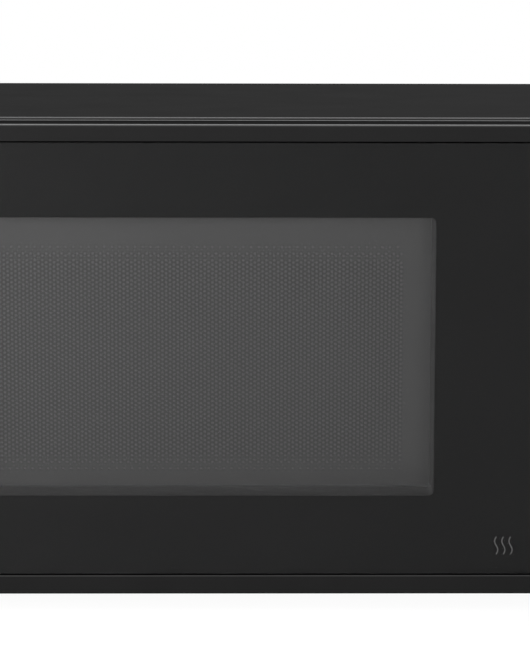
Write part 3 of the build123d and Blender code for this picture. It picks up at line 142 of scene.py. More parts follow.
# mask of the painted highlight: where extra gloss goes on rounded edges, kept off edges that face down
def edgeHighlightMask(tree):  # 0 on flat and underside faces, 1 on the middle of a rounded edge
    look = edgeLook
    normal = addNode(tree, "TexCoord").outputs["Normal"]
    size = addNode(tree, "VectorMath", {0: normal}, operation="ABSOLUTE").outputs["Vector"]
    parts = addNode(tree, "SeparateXYZ", {"Vector": size}).outputs
    most = addNode(tree, "Math", {0: parts["X"], 1: parts["Y"]}, operation="MAXIMUM").outputs[0]
    most = addNode(tree, "Math", {0: most, 1: parts["Z"]}, operation="MAXIMUM").outputs[0]
    rounded = spread(tree, most, 1.0, 0.0, look["rounded"], look["flat"])
    height = addNode(tree, "SeparateXYZ", {"Vector": normal}).outputs["Z"]
    upward = spread(tree, height, 0.0, 1.0, look["down"], look["level"])
    return addNode(tree, "Math", {0: rounded, 1: upward}, operation="MULTIPLY").outputs[0]


# black finishes: a dull body under a thin even gloss, with extra gloss on rounded edges that face up or
# sideways as a painted highlight
def satinBlack(tree, look):
    fine = grain(tree, look["grain"])
    cloud = grain(tree, look["cloud"], cloudDetail)
    colour = blendColour(tree, spread(tree, cloud), look["dark"], look["light"])
    normal = relief(tree, fine, look["relief"], look["depth"])
    body = addNode(tree, "BsdfPrincipled", {"Base Color": colour, "Normal": normal})
    body.inputs["Specular IOR Level"].default_value = 0.0
    tree.links.new(spread(tree, fine, *look["rough"]), body.inputs["Roughness"])
    gloss = addNode(tree, "BsdfGlossy", {"Color": pureWhite, "Normal": normal})
    gloss.inputs["Roughness"].default_value = look["glossRough"]
    # painted highlight: the gloss rises from its even share to the edge share on rounded edges
    amount = spread(tree, edgeHighlightMask(tree), look["gloss"], look["edgeHighlightGloss"], 0.0, 1.0)
    return addNode(tree, "MixShader", {0: amount, 1: body.outputs[0], 2: gloss.outputs[0]}).outputs[0]


blackLooks = {
    "cabinetPaint": {
        "dark": grey(0.0126, 0.0127), "light": grey(0.0154, 0.0155), "grain": 2400, "cloud": 26,
        "relief": 0.25, "depth": 0.0001, "rough": (0.55, 0.7), "glossRough": 0.34, "gloss": 0.0148,
        "edgeHighlightGloss": 0.082,
    },
    "blackMoulding": {
        "dark": grey(0.0067, 0.0068), "light": grey(0.0083, 0.0084), "grain": 3200, "cloud": 30,
        "relief": 0.12, "depth": 0.00008, "rough": (0.45, 0.6), "glossRough": 0.3, "gloss": 0.0087,
        "edgeHighlightGloss": 0.11,
    },
    # painted light and shade: the lower bezel's own copy of the black moulding, its tone and weaker edge
    # gloss set apart from the upper bezel's for the light each shows
    "chinMoulding": {
        "dark": grey(0.0072, 0.0073), "light": grey(0.009, 0.0091), "grain": 3200, "cloud": 30,
        "relief": 0.12, "depth": 0.00008, "rough": (0.45, 0.6), "glossRough": 0.3, "gloss": 0.0098,
        "edgeHighlightGloss": 0.085,
    },
    "printedBlack": {
        "dark": grey(0.0108, 0.0109), "light": grey(0.012, 0.0121), "grain": 1500, "cloud": 18,
        "relief": 0.04, "depth": 0.00005, "rough": (0.4, 0.5), "glossRough": 0.5, "gloss": 0.009,
        "edgeHighlightGloss": 0.02,
    },
    "fasciaGloss": {
        "dark": grey(0.0135, 0.0137), "light": grey(0.0155, 0.0157), "grain": 900, "cloud": 20,
        "relief": 0.03, "depth": 0.00005, "rough": (0.3, 0.4), "glossRough": 0.08, "gloss": 0.02,
        "edgeHighlightGloss": 0.07,
    },
    "keyPlastic": {
        "dark": grey(0.032, 0.033), "light": grey(0.04, 0.041), "grain": 2600, "cloud": 60, "relief": 0.12,
        "depth": 0.00008, "rough": (0.45, 0.55), "glossRough": 0.28, "gloss": 0.02, "edgeHighlightGloss": 0.06,
    },
    "footRubber": {
        "dark": grey(0.011), "light": grey(0.019), "grain": 1400, "cloud": 120, "relief": 0.35,
        "depth": 0.0002, "rough": (0.8, 0.95), "glossRough": 0.55, "gloss": 0.008, "edgeHighlightGloss": 0.02,
    },
}
for name, look in blackLooks.items():
    addFinish(name, satinBlack, look)


# painted, moulded and metal finishes: what plainLook says holds where a finish says nothing else
plainLook = {"depth": 0.0001, "metal": 0.0, "specular": 0.4, "stretch": None}


def grainedFinish(tree, look):
    look = {**plainLook, **look}
    fine = grain(tree, look["grain"], fineDetail, look["stretch"])
    cloud = grain(tree, look["cloud"], cloudDetail, look["stretch"])
    colour = blendColour(tree, spread(tree, cloud), look["dark"], look["light"])
    normal = relief(tree, fine, look["relief"], look["depth"])
    constants = {"Metallic": look["metal"], "Specular IOR Level": look["specular"]}
    return variedSurface(tree, colour, normal, spread(tree, fine, *look["rough"]), constants)


grainedLooks = {
    "screenPaint": {
        "dark": grey(0.052, 0.0523), "light": grey(0.054, 0.0543), "grain": 1800, "cloud": 22, "relief": 0.03,
        "depth": 0.00006, "rough": (0.34, 0.42), "specular": 0.38,
    },
    "screenWeb": {
        "dark": grey(0.0473, 0.0475), "light": grey(0.0493, 0.0495), "grain": 1800, "cloud": 22,
        "relief": 0.03, "depth": 0.00006, "rough": (0.34, 0.42), "specular": 0.29,
    },
    "rollerPlastic": {
        "dark": (0.62, 0.61, 0.57), "light": (0.72, 0.71, 0.68), "grain": 900, "cloud": 70, "relief": 0.08,
        "rough": (0.4, 0.5),
    },
    "latchPlastic": {
        "dark": grey(0.55, 0.53), "light": grey(0.66, 0.64), "grain": 1300, "cloud": 60, "relief": 0.1,
        "rough": (0.45, 0.58),
    },
    "switchPlastic": {
        "dark": grey(0.03, 0.032), "light": grey(0.05, 0.052), "grain": 1500, "cloud": 90, "relief": 0.15,
        "rough": (0.4, 0.55),
    },
    "zincScrew": {
        "dark": grey(0.46, 0.47), "light": grey(0.66, 0.64), "grain": 1600, "cloud": 160, "relief": 0.15,
        "rough": (0.26, 0.42), "metal": 1.0,
    },
    "springSteel": {
        "dark": grey(0.42, 0.43), "light": grey(0.58), "grain": 2600, "cloud": 220, "relief": 0.1,
        "depth": 0.00005, "rough": (0.22, 0.34), "metal": 1.0,
    },
    "motorSteel": {
        "dark": grey(0.4), "light": grey(0.56, 0.55), "grain": 700, "cloud": 60, "relief": 0.12,
        "rough": (0.3, 0.46), "metal": 1.0, "stretch": (1.0, 1.0, 8.0),
    },
    "magnetronSteel": {
        "dark": grey(0.46, 0.45), "light": grey(0.62, 0.61), "grain": 600, "cloud": 40, "relief": 0.1,
        "rough": (0.28, 0.44), "metal": 1.0, "stretch": (1.0, 6.0, 1.0),
    },
    "finAluminium": {
        "dark": grey(0.66, 0.67), "light": grey(0.8, 0.81), "grain": 800, "cloud": 50, "relief": 0.08,
        "rough": (0.26, 0.4), "metal": 1.0, "stretch": (1.0, 1.0, 10.0),
    },
    "canAluminium": {
        "dark": grey(0.56, 0.57), "light": grey(0.72), "grain": 500, "cloud": 40, "relief": 0.08,
        "rough": (0.3, 0.45), "metal": 1.0, "stretch": (12.0, 1.0, 12.0),
    },
    "antennaCeramic": {
        "dark": (0.74, 0.66, 0.62), "light": (0.86, 0.8, 0.76), "grain": 1600, "cloud": 180, "relief": 0.1,
        "rough": (0.4, 0.55),
    },
    "laminations": {
        "dark": grey(0.1, 0.105), "light": grey(0.26, 0.27), "grain": 400, "cloud": 900, "relief": 0.4,
        "depth": 0.0003, "rough": (0.4, 0.6), "metal": 0.85, "stretch": (0.02, 1.0, 0.02),
    },
    "enamelledWire": {
        "dark": (0.26, 0.1, 0.035), "light": (0.56, 0.27, 0.11), "grain": 700, "cloud": 700, "relief": 0.6,
        "depth": 0.0006, "rough": (0.25, 0.45), "metal": 0.8, "stretch": (0.02, 0.02, 1.0),
    },
    "printPale": {
        "dark": grey(0.42), "light": grey(0.5), "grain": 2600, "cloud": 300, "relief": 0.05, "depth": 0.00002,
        "rough": (0.5, 0.6), "specular": 0.1,
    },
    "printGrey": {
        "dark": grey(0.13), "light": grey(0.17), "grain": 2600, "cloud": 300, "relief": 0.05,
        "depth": 0.00002, "rough": (0.5, 0.6), "specular": 0.1,
    },
}
for name, look in grainedLooks.items():
    addFinish(name, grainedFinish, look)


# grey baked enamel with fine pale and dark specks, for the cavity and the plate round its mouth
def cavityEnamel(tree):
    look = {
        "base": (0.3, 0.3, 0.295), "pale": (0.46, 0.46, 0.45), "dark": grey(0.13), "specks": 620,
        "speckEdge": (0.12, 0.26), "dust": 1300.0, "paintedSillLightEdge": (0.62, 0.74), "dustShare": 0.8, "wave": 380.0,
        "waveRelief": (0.1, 0.0004), "rough": (0.3, 0.42), "specular": 0.35,
    }
    wave = grain(tree, look["wave"], cloudDetail)
    spot = cells(tree, look["specks"], "Distance")
    pale = blendColour(tree, spread(tree, spot, 1.0, 0.0, *look["speckEdge"]), look["base"], look["pale"])
    dust = spread(tree, grain(tree, look["dust"], detail=1.0), 0.0, look["dustShare"], *look["paintedSillLightEdge"])
    colour = blendColour(tree, dust, pale, look["dark"])
    normal = relief(tree, wave, *look["waveRelief"])
    rough = spread(tree, wave, *look["rough"])
    return variedSurface(tree, colour, normal, rough, {"Specular IOR Level": look["specular"]})


# zinc-coated sheet with its crystal spangle
def galvanisedSheet(tree):
    look = {
        "spangle": 150, "dark": (0.49, 0.5, 0.51), "light": (0.58, 0.59, 0.6), "bend": 60.0,
        "bendReach": (0.012, 0.012, 0.012), "streak": 900.0, "streakRelief": (0.1, 0.0001),
        "rough": (0.36, 0.46), "metal": 0.92,
    }
    bend = grain(tree, look["bend"])
    place = addNode(tree, "TexCoord").outputs["Object"]
    shift = addNode(tree, "VectorMath", {0: look["bendReach"], "Scale": bend}, operation="SCALE")
    warped = addNode(tree, "VectorMath", {0: place, 1: shift.outputs[0]}, operation="ADD")
    flake = addNode(tree, "TexVoronoi", {"Vector": warped.outputs[0], "Scale": look["spangle"]})
    tone = addNode(tree, "SeparateColor", {0: flake.outputs["Color"]}).outputs[0]
    colour = blendColour(tree, tone, look["dark"], look["light"])
    normal = relief(tree, grain(tree, look["streak"]), *look["streakRelief"])
    rough = spread(tree, tone, *look["rough"], 0.0, 1.0)
    return variedSurface(tree, colour, normal, rough, {"Metallic": look["metal"]})


# lining of the window's reveal: a smooth black with painted light, paler towards the screen and paler still
# on its sill that looks up
def linerPlastic(tree):
    look = {
        "wallFront": grey(0.025, 0.0252), "wallBack": grey(0.06, 0.0603), "sillFront": grey(0.052, 0.0523),
        "sillBack": grey(0.14, 0.1405), "paintedSillLightEdge": (0.2, 0.9), "specular": 0.9, "grain": 2200,
        "grainRelief": (0.06, 0.00004), "rough": (0.15, 0.2),
    }
    coordinates = addNode(tree, "TexCoord").outputs
    depth = addNode(tree, "SeparateXYZ", {"Vector": coordinates["Object"]}).outputs["Y"]
    upward = addNode(tree, "SeparateXYZ", {"Vector": coordinates["Normal"]}).outputs["Z"]
    # painted light: the colour pales with depth from the glass towards the screen
    fade = spread(tree, depth, 0.0, 1.0, glassHigh.y, panLow.y)
    wall = blendColour(tree, fade, look["wallFront"], look["wallBack"])
    sill = blendColour(tree, fade, look["sillFront"], look["sillBack"])
    # painted light: faces that look up, the sill, take the paler colours
    colour = blendColour(tree, spread(tree, upward, 0.0, 1.0, *look["paintedSillLightEdge"]), wall, sill)
    fine = grain(tree, look["grain"], fineDetail)
    normal = relief(tree, fine, *look["grainRelief"])
    rough = spread(tree, fine, *look["rough"])
    return variedSurface(tree, colour, normal, rough, {"Specular IOR Level": look["specular"]})


# mica sheet: warm grey flakes
def micaSheet(tree):
    look = {
        "flakes": 260.0, "dark": (0.38, 0.32, 0.25), "light": (0.56, 0.5, 0.41), "flakeRelief": (0.3, 0.0002),
        "rough": (0.3, 0.55), "specular": 0.5,
    }
    tone = addNode(tree, "SeparateColor", {0: cells(tree, look["flakes"])}).outputs[0]
    colour = blendColour(tree, tone, look["dark"], look["light"])
    normal = relief(tree, tone, *look["flakeRelief"])
    rough = spread(tree, tone, *look["rough"], 0.0, 1.0)
    return variedSurface(tree, colour, normal, rough, {"Specular IOR Level": look["specular"]})


# circuit board: green mask with copper tracks and tinned pads
def circuitMask(tree):
    look = {
        "tracks": 260.0, "trackGap": 0.12, "mask": (0.012, 0.085, 0.03), "track": (0.03, 0.16, 0.055),
        "trackRelief": (0.3, 0.0002), "pads": 340.0, "padEdge": (0.1, 0.16), "tin": (0.62, 0.6, 0.55),
        "rough": (0.32, 0.26),
    }
    place = addNode(tree, "TexCoord").outputs["Object"]
    rows = {"Vector": place, "Scale": look["tracks"], "Mortar Size": look["trackGap"]}
    track = addNode(tree, "TexBrick", rows).outputs["Fac"]
    green = blendColour(tree, track, look["mask"], look["track"])
    pad = spread(tree, cells(tree, look["pads"], "Distance"), 1.0, 0.0, *look["padEdge"])
    colour = blendColour(tree, pad, green, look["tin"])
    normal = relief(tree, track, *look["trackRelief"])
    rough = spread(tree, pad, *look["rough"], 0.0, 1.0)
    return variedSurface(tree, colour, normal, rough, {"Metallic": pad})


# see-through sheets: a tinted clear body under its gloss, with faint smears in the gloss
def clearSheet(tree, look):
    smear = grain(tree, look["smears"], fineDetail)
    clear = addNode(tree, "BsdfTransparent", {"Color": (*look["tint"], 1.0)})
    gloss = addNode(tree, "BsdfGlossy", {"Color": pureWhite})
    tree.links.new(spread(tree, smear, *look["rough"]), gloss.inputs["Roughness"])
    edge = addNode(tree, "Fresnel", {"IOR": look["ior"]}).outputs[0]
    shader = addNode(tree, "MixShader", {0: edge, 1: clear.outputs[0], 2: gloss.outputs[0]}).outputs[0]
    if "milk" in look:  # a share of the sheet that scatters light
        tone = blendColour(tree, spread(tree, smear), look["milkDark"], look["milkLight"])
        cloudy = addNode(tree, "BsdfPrincipled", {"Base Color": tone, "Roughness": look["milkRough"]})
        cloudy.inputs["Specular IOR Level"].default_value = look["milkSpecular"]
        shader = addNode(tree, "MixShader", {0: look["milk"], 1: shader, 2: cloudy.outputs[0]}).outputs[0]
    return shader


clearLooks = {
    "doorGlass": {"tint": grey(0.97), "ior": 1.05, "rough": (0.05, 0.08), "smears": 14},
    "displayLens": {"tint": (0.3, 0.31, 0.32), "ior": 1.2, "rough": (0.03, 0.05), "smears": 60},
    "trayGlass": {
        "tint": (0.95, 0.975, 0.97), "ior": 1.4, "rough": (0.02, 0.05), "smears": 40, "milk": 0.1,
        "milkDark": (0.5, 0.56, 0.55), "milkLight": (0.62, 0.67, 0.66), "milkSpecular": 0.1, "milkRough": 0.5,
    },
    "lampGlass": {
        "tint": (0.95, 0.93, 0.9), "ior": 1.45, "rough": (0.02, 0.04), "smears": 200, "milk": 0.25,
        "milkDark": (0.8, 0.76, 0.68), "milkLight": (0.9, 0.87, 0.8), "milkSpecular": 0.1, "milkRough": 0.5,
    },
    "smokeFilm": {
        "tint": grey(0.7), "ior": 1.2, "rough": (0.12, 0.2), "smears": 50, "milk": 0.92,
        "milkDark": grey(0.054), "milkLight": grey(0.058), "milkSpecular": 0.78, "milkRough": 0.3,
    },
}
for name, look in clearLooks.items():
    addFinish(name, clearSheet, look)


# lit segments of the display
def segmentGlow(tree):
    look = {"grain": 700.0, "dark": (0.55, 0.75, 0.8), "light": (0.75, 0.92, 0.95), "rough": 0.5, "glow": 4.0}
    tone = blendColour(tree, spread(tree, grain(tree, look["grain"])), look["dark"], look["light"])
    lit = addNode(tree, "BsdfPrincipled", {"Base Color": tone, "Emission Color": tone})
    lit.inputs["Roughness"].default_value = look["rough"]
    lit.inputs["Emission Strength"].default_value = look["glow"]
    return lit.outputs[0]


# turned metal: fine rings round the dial's axis
def spunMetal(tree):
    look = {
        "rings": 2600, "dark": grey(0.3, 0.31), "light": grey(0.44, 0.45), "ringRelief": (0.25, 0.00004),
        "rough": (0.28, 0.4),
    }
    place = addNode(tree, "TexCoord").outputs["Object"]
    offset = addNode(tree, "VectorMath", {0: place, 1: dialCentre}, operation="SUBTRACT").outputs[0]
    flat = addNode(tree, "VectorMath", {0: offset, 1: (1, 0, 1)}, operation="MULTIPLY").outputs[0]
    radius = addNode(tree, "VectorMath", {0: flat}, operation="LENGTH").outputs["Value"]
    turned = {"W": radius, "Scale": look["rings"], "Detail": 3.0}
    ring = addNode(tree, "TexNoise", turned, noise_dimensions="1D").outputs[0]
    colour = blendColour(tree, spread(tree, ring), look["dark"], look["light"])
    normal = relief(tree, ring, *look["ringRelief"])
    return variedSurface(tree, colour, normal, spread(tree, ring, *look["rough"]), {"Metallic": 1.0})


for build in (cavityEnamel, galvanisedSheet, linerPlastic, micaSheet, circuitMask, segmentGlow, spunMetal):
    addFinish(build.__name__, build)
print("finishes made,", len(finishes))

# which finish each carried-over node takes
nodeFinish = {
    "cabinetPaint": ["outer_cabinet"],
    "galvanisedSheet": [
        "base_plate", "rear_panel", "waveguide", "magnetron_filter_box", "lamp_holder", "hinge_brackets",
    ],
    "zincScrew": ["hinge_pins"],
    "chinMoulding": ["lower_bezel"],
    "blackMoulding": ["upper_bezel", "control_housing", "choke_cover", "rear_spacers", "cord_gland"],
    "printedBlack": ["door_frame"],
    "fasciaGloss": ["control_fascia", "display_module"],
    "keyPlastic": ["key_1", "key_2", "key_3", "key_4", "door_button"],
    "displayLens": ["display_lens"],
    "doorGlass": ["door_glass"],
    "lampGlass": ["oven_lamp"],
    "smokeFilm": ["inner_film"],
    "cavityEnamel": ["oven_cavity", "front_plate"],
    "micaSheet": ["waveguide_cover"],
    "rollerPlastic": [
        "turntable_coupler", "roller_ring", "roller_1", "roller_2", "roller_3", "fan_blade", "fan_shroud",
    ],
    "latchPlastic": ["latch_board", "release_lever", "latch_bar"],
    "switchPlastic": ["interlock_switches", "thermal_cutouts", "dial_encoder"],
    "motorSteel": ["turntable_motor", "fan_motor"],
    "magnetronSteel": ["magnetron_yoke"],
    "finAluminium": ["magnetron_fins"],
    "antennaCeramic": ["magnetron_antenna"],
    "laminations": ["transformer_core"],
    "enamelledWire": ["transformer_windings"],
    "canAluminium": ["hv_capacitor"],
    "circuitMask": ["noise_filter_board", "control_board"],
}
for finish, names in nodeFinish.items():
    for name in names:
        nodes[name].data.materials.clear()
        nodes[name].data.materials.append(finishes[finish])


# mesh helpers
def addObject(name, data):
    made = bpy.data.objects.new(name, data)
    bpy.context.scene.collection.objects.link(made)
    return made


def makePiece(name, points, faces, finish, body, slot, crease=35.0):
    mesh = bpy.data.meshes.new(name)
    mesh.from_pydata([tuple(point) for point in points], [], faces)
    shell = bmesh.new()
    shell.from_mesh(mesh)
    bmesh.ops.recalc_face_normals(shell, faces=shell.faces)
    shell.to_mesh(mesh)
    shell.free()
    mesh.shade_smooth()
    mesh.set_sharp_from_angle(angle=math.radians(crease))
    mesh.materials.append(finishes[finish])
    piece = addObject(name, mesh)
    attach(piece, body)
    return piece


# skins closed loops of equal length, with end caps or back to the first loop
def loftLoops(loops, ring=False):
    count = len(loops[0])
    points = [Vector(point) for loop in loops for point in loop]
    faces = []
    for row in range(len(loops) if ring else len(loops) - 1):
        after = (row + 1) % len(loops)
        for i in range(count):
            j = (i + 1) % count
            faces.append((row * count + i, row * count + j, after * count + j, after * count + i))
    if not ring:
        last = (len(loops) - 1) * count
        faces.append(tuple(range(count - 1, -1, -1)))
        faces.append(tuple(range(last, last + count)))
    return points, faces


def joinParts(parts):  # puts several point and face lists into one
    points, faces = [], []
    for partPoints, partFaces in parts:
        first = len(points)
        points += partPoints
        faces += [tuple(first + i for i in face) for face in partFaces]
    return points, faces


def roundedOutline(left, right, bottom, top, radius, steps=8):
    outline = []
    corners = ((right, top, 0), (left, top, 90), (left, bottom, 180), (right, bottom, 270))
    for x, z, turn in corners:
        centreX = x - radius if x == right else x + radius
        centreZ = z - radius if z == top else z + radius
        for step in range(steps + 1):
            angle = math.radians(turn + 90 * step / steps)
            outline.append((centreX + radius * math.cos(angle), centreZ + radius * math.sin(angle)))
    return outline


def atDepth(outline, y):
    return [(x, y, z) for x, z in outline]


def lathe(profile, centre, axis="z", count=64, shape=None):  # turns (radius, height) points round an axis
    loops = []
    for radius, height in profile:
        loop = []
        for i in range(count):
            angle = 2 * math.pi * i / count
            reach = radius * (shape(angle, height) if shape else 1.0)
            across, along = reach * math.cos(angle), reach * math.sin(angle)
            upright = (centre[0] + across, centre[1] + along, height)
            loop.append(upright if axis == "z" else (centre[0] + across, height, centre[2] + along))
        loops.append(loop)
    return loftLoops(loops)


# profile points, given in mm out from a radius and along the axis from a height
def stepsFrom(radius, height, steps):
    return [(radius + out * mm, height + along * mm) for out, along in steps]


def solidBoxes(name):  # the lowest and highest corners of each separate solid in a node
    mesh = nodes[name].data
    keys = [tuple(round(value, 6) for value in vertex.co) for vertex in mesh.vertices]
    group = {key: key for key in keys}

    def root(key):
        while group[key] != key:
            key = group[key]
        return key

    for edge in mesh.edges:
        first, second = (root(keys[i]) for i in edge.vertices)
        group[first] = second
    solids = {}
    for key in group:
        solids.setdefault(root(key), []).append(key)
    boxes = []
    for points in solids.values():
        low = Vector([min(point[i] for point in points) for i in range(3)])
        high = Vector([max(point[i] for point in points) for i in range(3)])
        boxes.append((low, high))
    return sorted(boxes, key=lambda box: tuple(box[0]))


def ribbonAlong(path, width, front, back):  # a flat line of print, on a face that looks along -Y
    parts = []
    for y in (front, back):
        edges = []
        for i, (x, z) in enumerate(path):
            nextX, nextZ = path[min(i + 1, len(path) - 1)]
            lastX, lastZ = path[max(i - 1, 0)]
            along = Vector((nextX - lastX, nextZ - lastZ)).normalized()
            across, upright = along.y * width / 2, along.x * width / 2
            edges.append(((x - across, y, z + upright), (x + across, y, z - upright)))
        parts.append([pair[0] for pair in edges] + [pair[1] for pair in reversed(edges)])
    return loftLoops(parts)


# perforated steel screen behind the window, with its folded rim
screenLook = {
    "pitch": 2.487 * mm, "columnStep": 2.1535 * mm, "holeRadius": 0.81 * mm, "plate": 0.35 * mm,
    "topRow": 200.35 * mm, "halfRows": 102, "bareRows": (1, 2, 5), "lastColumn": 76.45 * mm, "columns": 113,
    "grid": 1e7,  # steps to the metre that tell corners apart
}
screenBack = panLow.y + sheet
screenFront = screenBack - screenLook["plate"]


def perforatedScreen():
    look = screenLook
    halfStep, halfPitch = look["columnStep"] / 2, look["pitch"] / 2
    front, back, radius, last = screenFront, screenBack, look["holeRadius"], look["halfRows"]
    points, places, faces, webFaces = [], {}, [], []

    def corner(x, y, z):  # corners that fall together are one
        key = tuple(round(value * look["grid"]) for value in (x, y, z))
        if key not in places:
            places[key] = len(points)
            points.append((x, y, z))
        return places[key]

    def level(row):
        return look["topRow"] - row * halfPitch

    def strip(edges):  # a column's line between its neighbours
        return look["lastColumn"] + halfStep - edges * look["columnStep"]

    def plate(outline, rear=None):
        faces.append([corner(x, front, z) for x, z in outline])
        faces.append([corner(x, back, z) for x, z in reversed(rear or outline)])

    turns = [math.radians(60 * k) for k in range(6)]
    for column in range(look["columns"]):
        right, left = strip(column), strip(column + 1)
        middle = (left + right) / 2
        if column % 2 == 0:  # the half cell that lets alternate columns start lower
            plate([(right, level(-1)), (left, level(-1)), (left, level(0)), (right, level(0))])
        for row in range((column + 1) % 2, last, 2):
            top, centre, bottom = level(row - 1), level(row), level(row + 1)
            outer = [(right, centre), (right, top), (left, top)]
            outer += [(left, centre), (left, bottom), (right, bottom)]
            if min(row, last - 1 - row) in look["bareRows"]:
                plate(outer)
                continue
            hole = [(middle + radius * math.cos(turn), centre + radius * math.sin(turn)) for turn in turns]
            first = len(faces)
            for k in range(6):
                after = (k + 1) % 6
                plate([outer[k], outer[after], hole[after], hole[k]])
                rim = [(*hole[k], front), (*hole[after], front), (*hole[after], back), (*hole[k], back)]
                faces.append([corner(x, y, z) for x, z, y in rim])
            webFaces += range(first, len(faces))
        if column % 2:
            top, bottom = level(last - 1), level(last)
            plate([(right, top), (left, top), (left, bottom), (right, bottom)])
    rows = [level(row) for row in range(-1, last + 1)]
    lines = [strip(edges) for edges in range(look["columns"] + 1)]
    high, low = rows[0], rows[-1]
    field = [
        [(x, high) for x in lines], [(lines[-1], z) for z in rows],
        [(x, low) for x in reversed(lines)], [(lines[0], z) for z in reversed(rows)],
    ]
    outer = [(panHigh.x, panHigh.z), (panLow.x, panHigh.z), (panLow.x, panLow.z), (panHigh.x, panLow.z)]
    inner = [
        (panHigh.x - sheet, panHigh.z - sheet), (panLow.x + sheet, panHigh.z - sheet),
        (panLow.x + sheet, panLow.z + sheet), (panHigh.x - sheet, panLow.z + sheet),
    ]
    for side in range(4):  # plain margin, then the folded rim
        after = (side + 1) % 4
        plate([outer[after], outer[side]] + field[side], [inner[after], inner[side]] + field[side])
        walls = [(outer, front), (outer, panHigh.y), (inner, panHigh.y), (inner, back)]
        for (start, startY), (end, endY) in zip(walls, walls[1:]):
            quad = [(*start[side], startY), (*start[after], startY), (*end[after], endY), (*end[side], endY)]
            faces.append([corner(x, y, z) for x, z, y in quad])
    piece = makePiece("perforatedScreen", points, faces, "screenPaint", "door", "screen_paint")
    piece.data.materials.append(finishes["screenWeb"])
    for number in webFaces:
        piece.data.polygons[number].material_index = 1
    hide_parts("door_screen")


perforatedScreen()

# lining of the window's reveal, from the glass back to the screen
linerLook = {"thickness": 0.12 * mm, "corner": 3.0 * mm, "gap": 0.05 * mm, "cove": 0.8 * mm, "steps": 14}


def windowLiner():
    look = linerLook
    start, end = glassHigh.y, screenFront - look["gap"]
    rows = [(look["gap"], end), (look["gap"], start)]
    for step in range(look["steps"] + 1):  # the wall curves in towards the screen
        turn = math.pi / 2 * step / look["steps"]
        inset = look["thickness"] + look["cove"] * (1 - math.cos(turn))
        rows.append((inset, start + (end - start) * math.sin(turn)))
    loops = []
    for inset, y in rows:
        sides = (windowLeft + inset, windowRight - inset, windowBottom + inset, windowTop - inset)
        loops.append(atDepth(roundedOutline(*sides, look["corner"] - inset), y))
    makePiece("windowLiner", *loftLoops(loops, ring=True), "linerPlastic", "door", "black_moulding")


windowLiner()

# three plain wavy lines printed on the door's lower corner
markLook = {
    "x": 133 * mm, "z": 36.5 * mm, "height": 10 * mm, "step": 4 * mm, "wave": 0.9 * mm, "line": 0.62 * mm,
    "proud": 0.02 * mm, "points": 32,
}


def doorMark():
    look = markLook
    front, back = glassLow.y - look["proud"], glassLow.y + look["proud"]
    parts = []
    for line in (-1, 0, 1):
        path = []
        for i in range(look["points"] + 1):
            share = i / look["points"]
            sway = look["wave"] * math.sin(2 * math.pi * share)
            path.append((look["x"] + line * look["step"] + sway, look["z"] + (share - 0.5) * look["height"]))
        parts.append(ribbonAlong(path, look["line"], front, back))
    makePiece("doorMark", *joinParts(parts), "printGrey", "door", "control_trim")


doorMark()
print("door dressed")


# coil springs, closed at both ends
coilLook = {"steps": 28, "sides": 10, "closedRise": 2.04}  # the rise of an end turn is in radii of the wire


def coilSpring(name, node, axis, look, body):
    low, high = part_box(node)
    index = "xyz".index(axis)
    along = Vector([1.0 if i == index else 0.0 for i in range(3)])
    side = Vector((1, 0, 0))
    other = along.cross(side)
    start = (low + high) / 2
    length = high[index] - low[index]
    start[index] = low[index]
    radius = (high.x - low.x) / 2 - look["wire"]
    wire, turns, steps = look["wire"], look["turns"], coilLook["steps"]
    closedRise = coilLook["closedRise"] * wire
    ring = [2 * math.pi * k / coilLook["sides"] for k in range(coilLook["sides"])]
    openRise = (length - 2 * wire - 2 * closedRise) / (turns - 2)
    loops = []
    for i in range(turns * steps + 1):
        turn = i / steps
        rise = min(turn, 1) * closedRise + max(turn - turns + 1, 0) * closedRise
        rise += min(max(turn - 1, 0), turns - 2) * openRise
        out = math.cos(2 * math.pi * turn) * side + math.sin(2 * math.pi * turn) * other
        middle = start + out * radius + along * (wire + rise)
        loops.append([middle + wire * (math.cos(a) * out + math.sin(a) * along) for a in ring])
    piece = makePiece(name, *loftLoops(loops), "springSteel", body, "spring_steel")
    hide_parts(node)
    anchor = (low + high) / 2
    anchor[index] = high[index]
    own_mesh(piece)


latchSpringLook = {"wire": 0.42 * mm, "turns": 7, "travel": 4.0 * mm}
buttonSpringLook = {"wire": 0.45 * mm, "turns": 10, "travel": 4.0 * mm}
coilSpring("latchCoil", "latch_spring", "z", latchSpringLook, "door")
coilSpring("buttonCoil", "button_spring", "y", buttonSpringLook, "cabinet")

# dial: fluted grip, turned metal cap and a raised pointer
dialLook = {
    "radius": 20.0 * mm, "gap": 0.5 * mm, "stem": 3.0 * mm, "skirt": 2.6 * mm, "bevel": 0.4 * mm,
    "neck": 0.5 * mm, "flutes": 36, "fluteSteps": 8, "fluteDepth": 0.03, "cap": 16.5 * mm, "capSides": 96,
    "nose": [(-0.7, 2.2), (-0.9, 1.1), (-1.3, 0.5), (-1.9, 0.12), (-2.6, 0.0)],  # from radius and front
    "seat": [(0.35, 0.0), (0.1, 0.25), (0.1, 1.4)], "capEdge": [(0.0, 1.3), (0.0, 0.3), (-0.3, 0.06)],
    "dish": 0.8 * mm, "dishRim": 0.6 * mm, "dishLip": 0.04 * mm, "dishSteps": 12, "dishEnd": 12.2,
    "pointerWidth": 1.5 * mm, "pointerLow": 9.4 * mm, "pointerHigh": 15.6 * mm, "pointerFlat": 0.05 * mm,
    "pointerRows": [(0.0, 0.8), (0.0, 0.05), (0.2, -0.1)], "pointerSteps": 6,  # mm inward, mm from the front
}


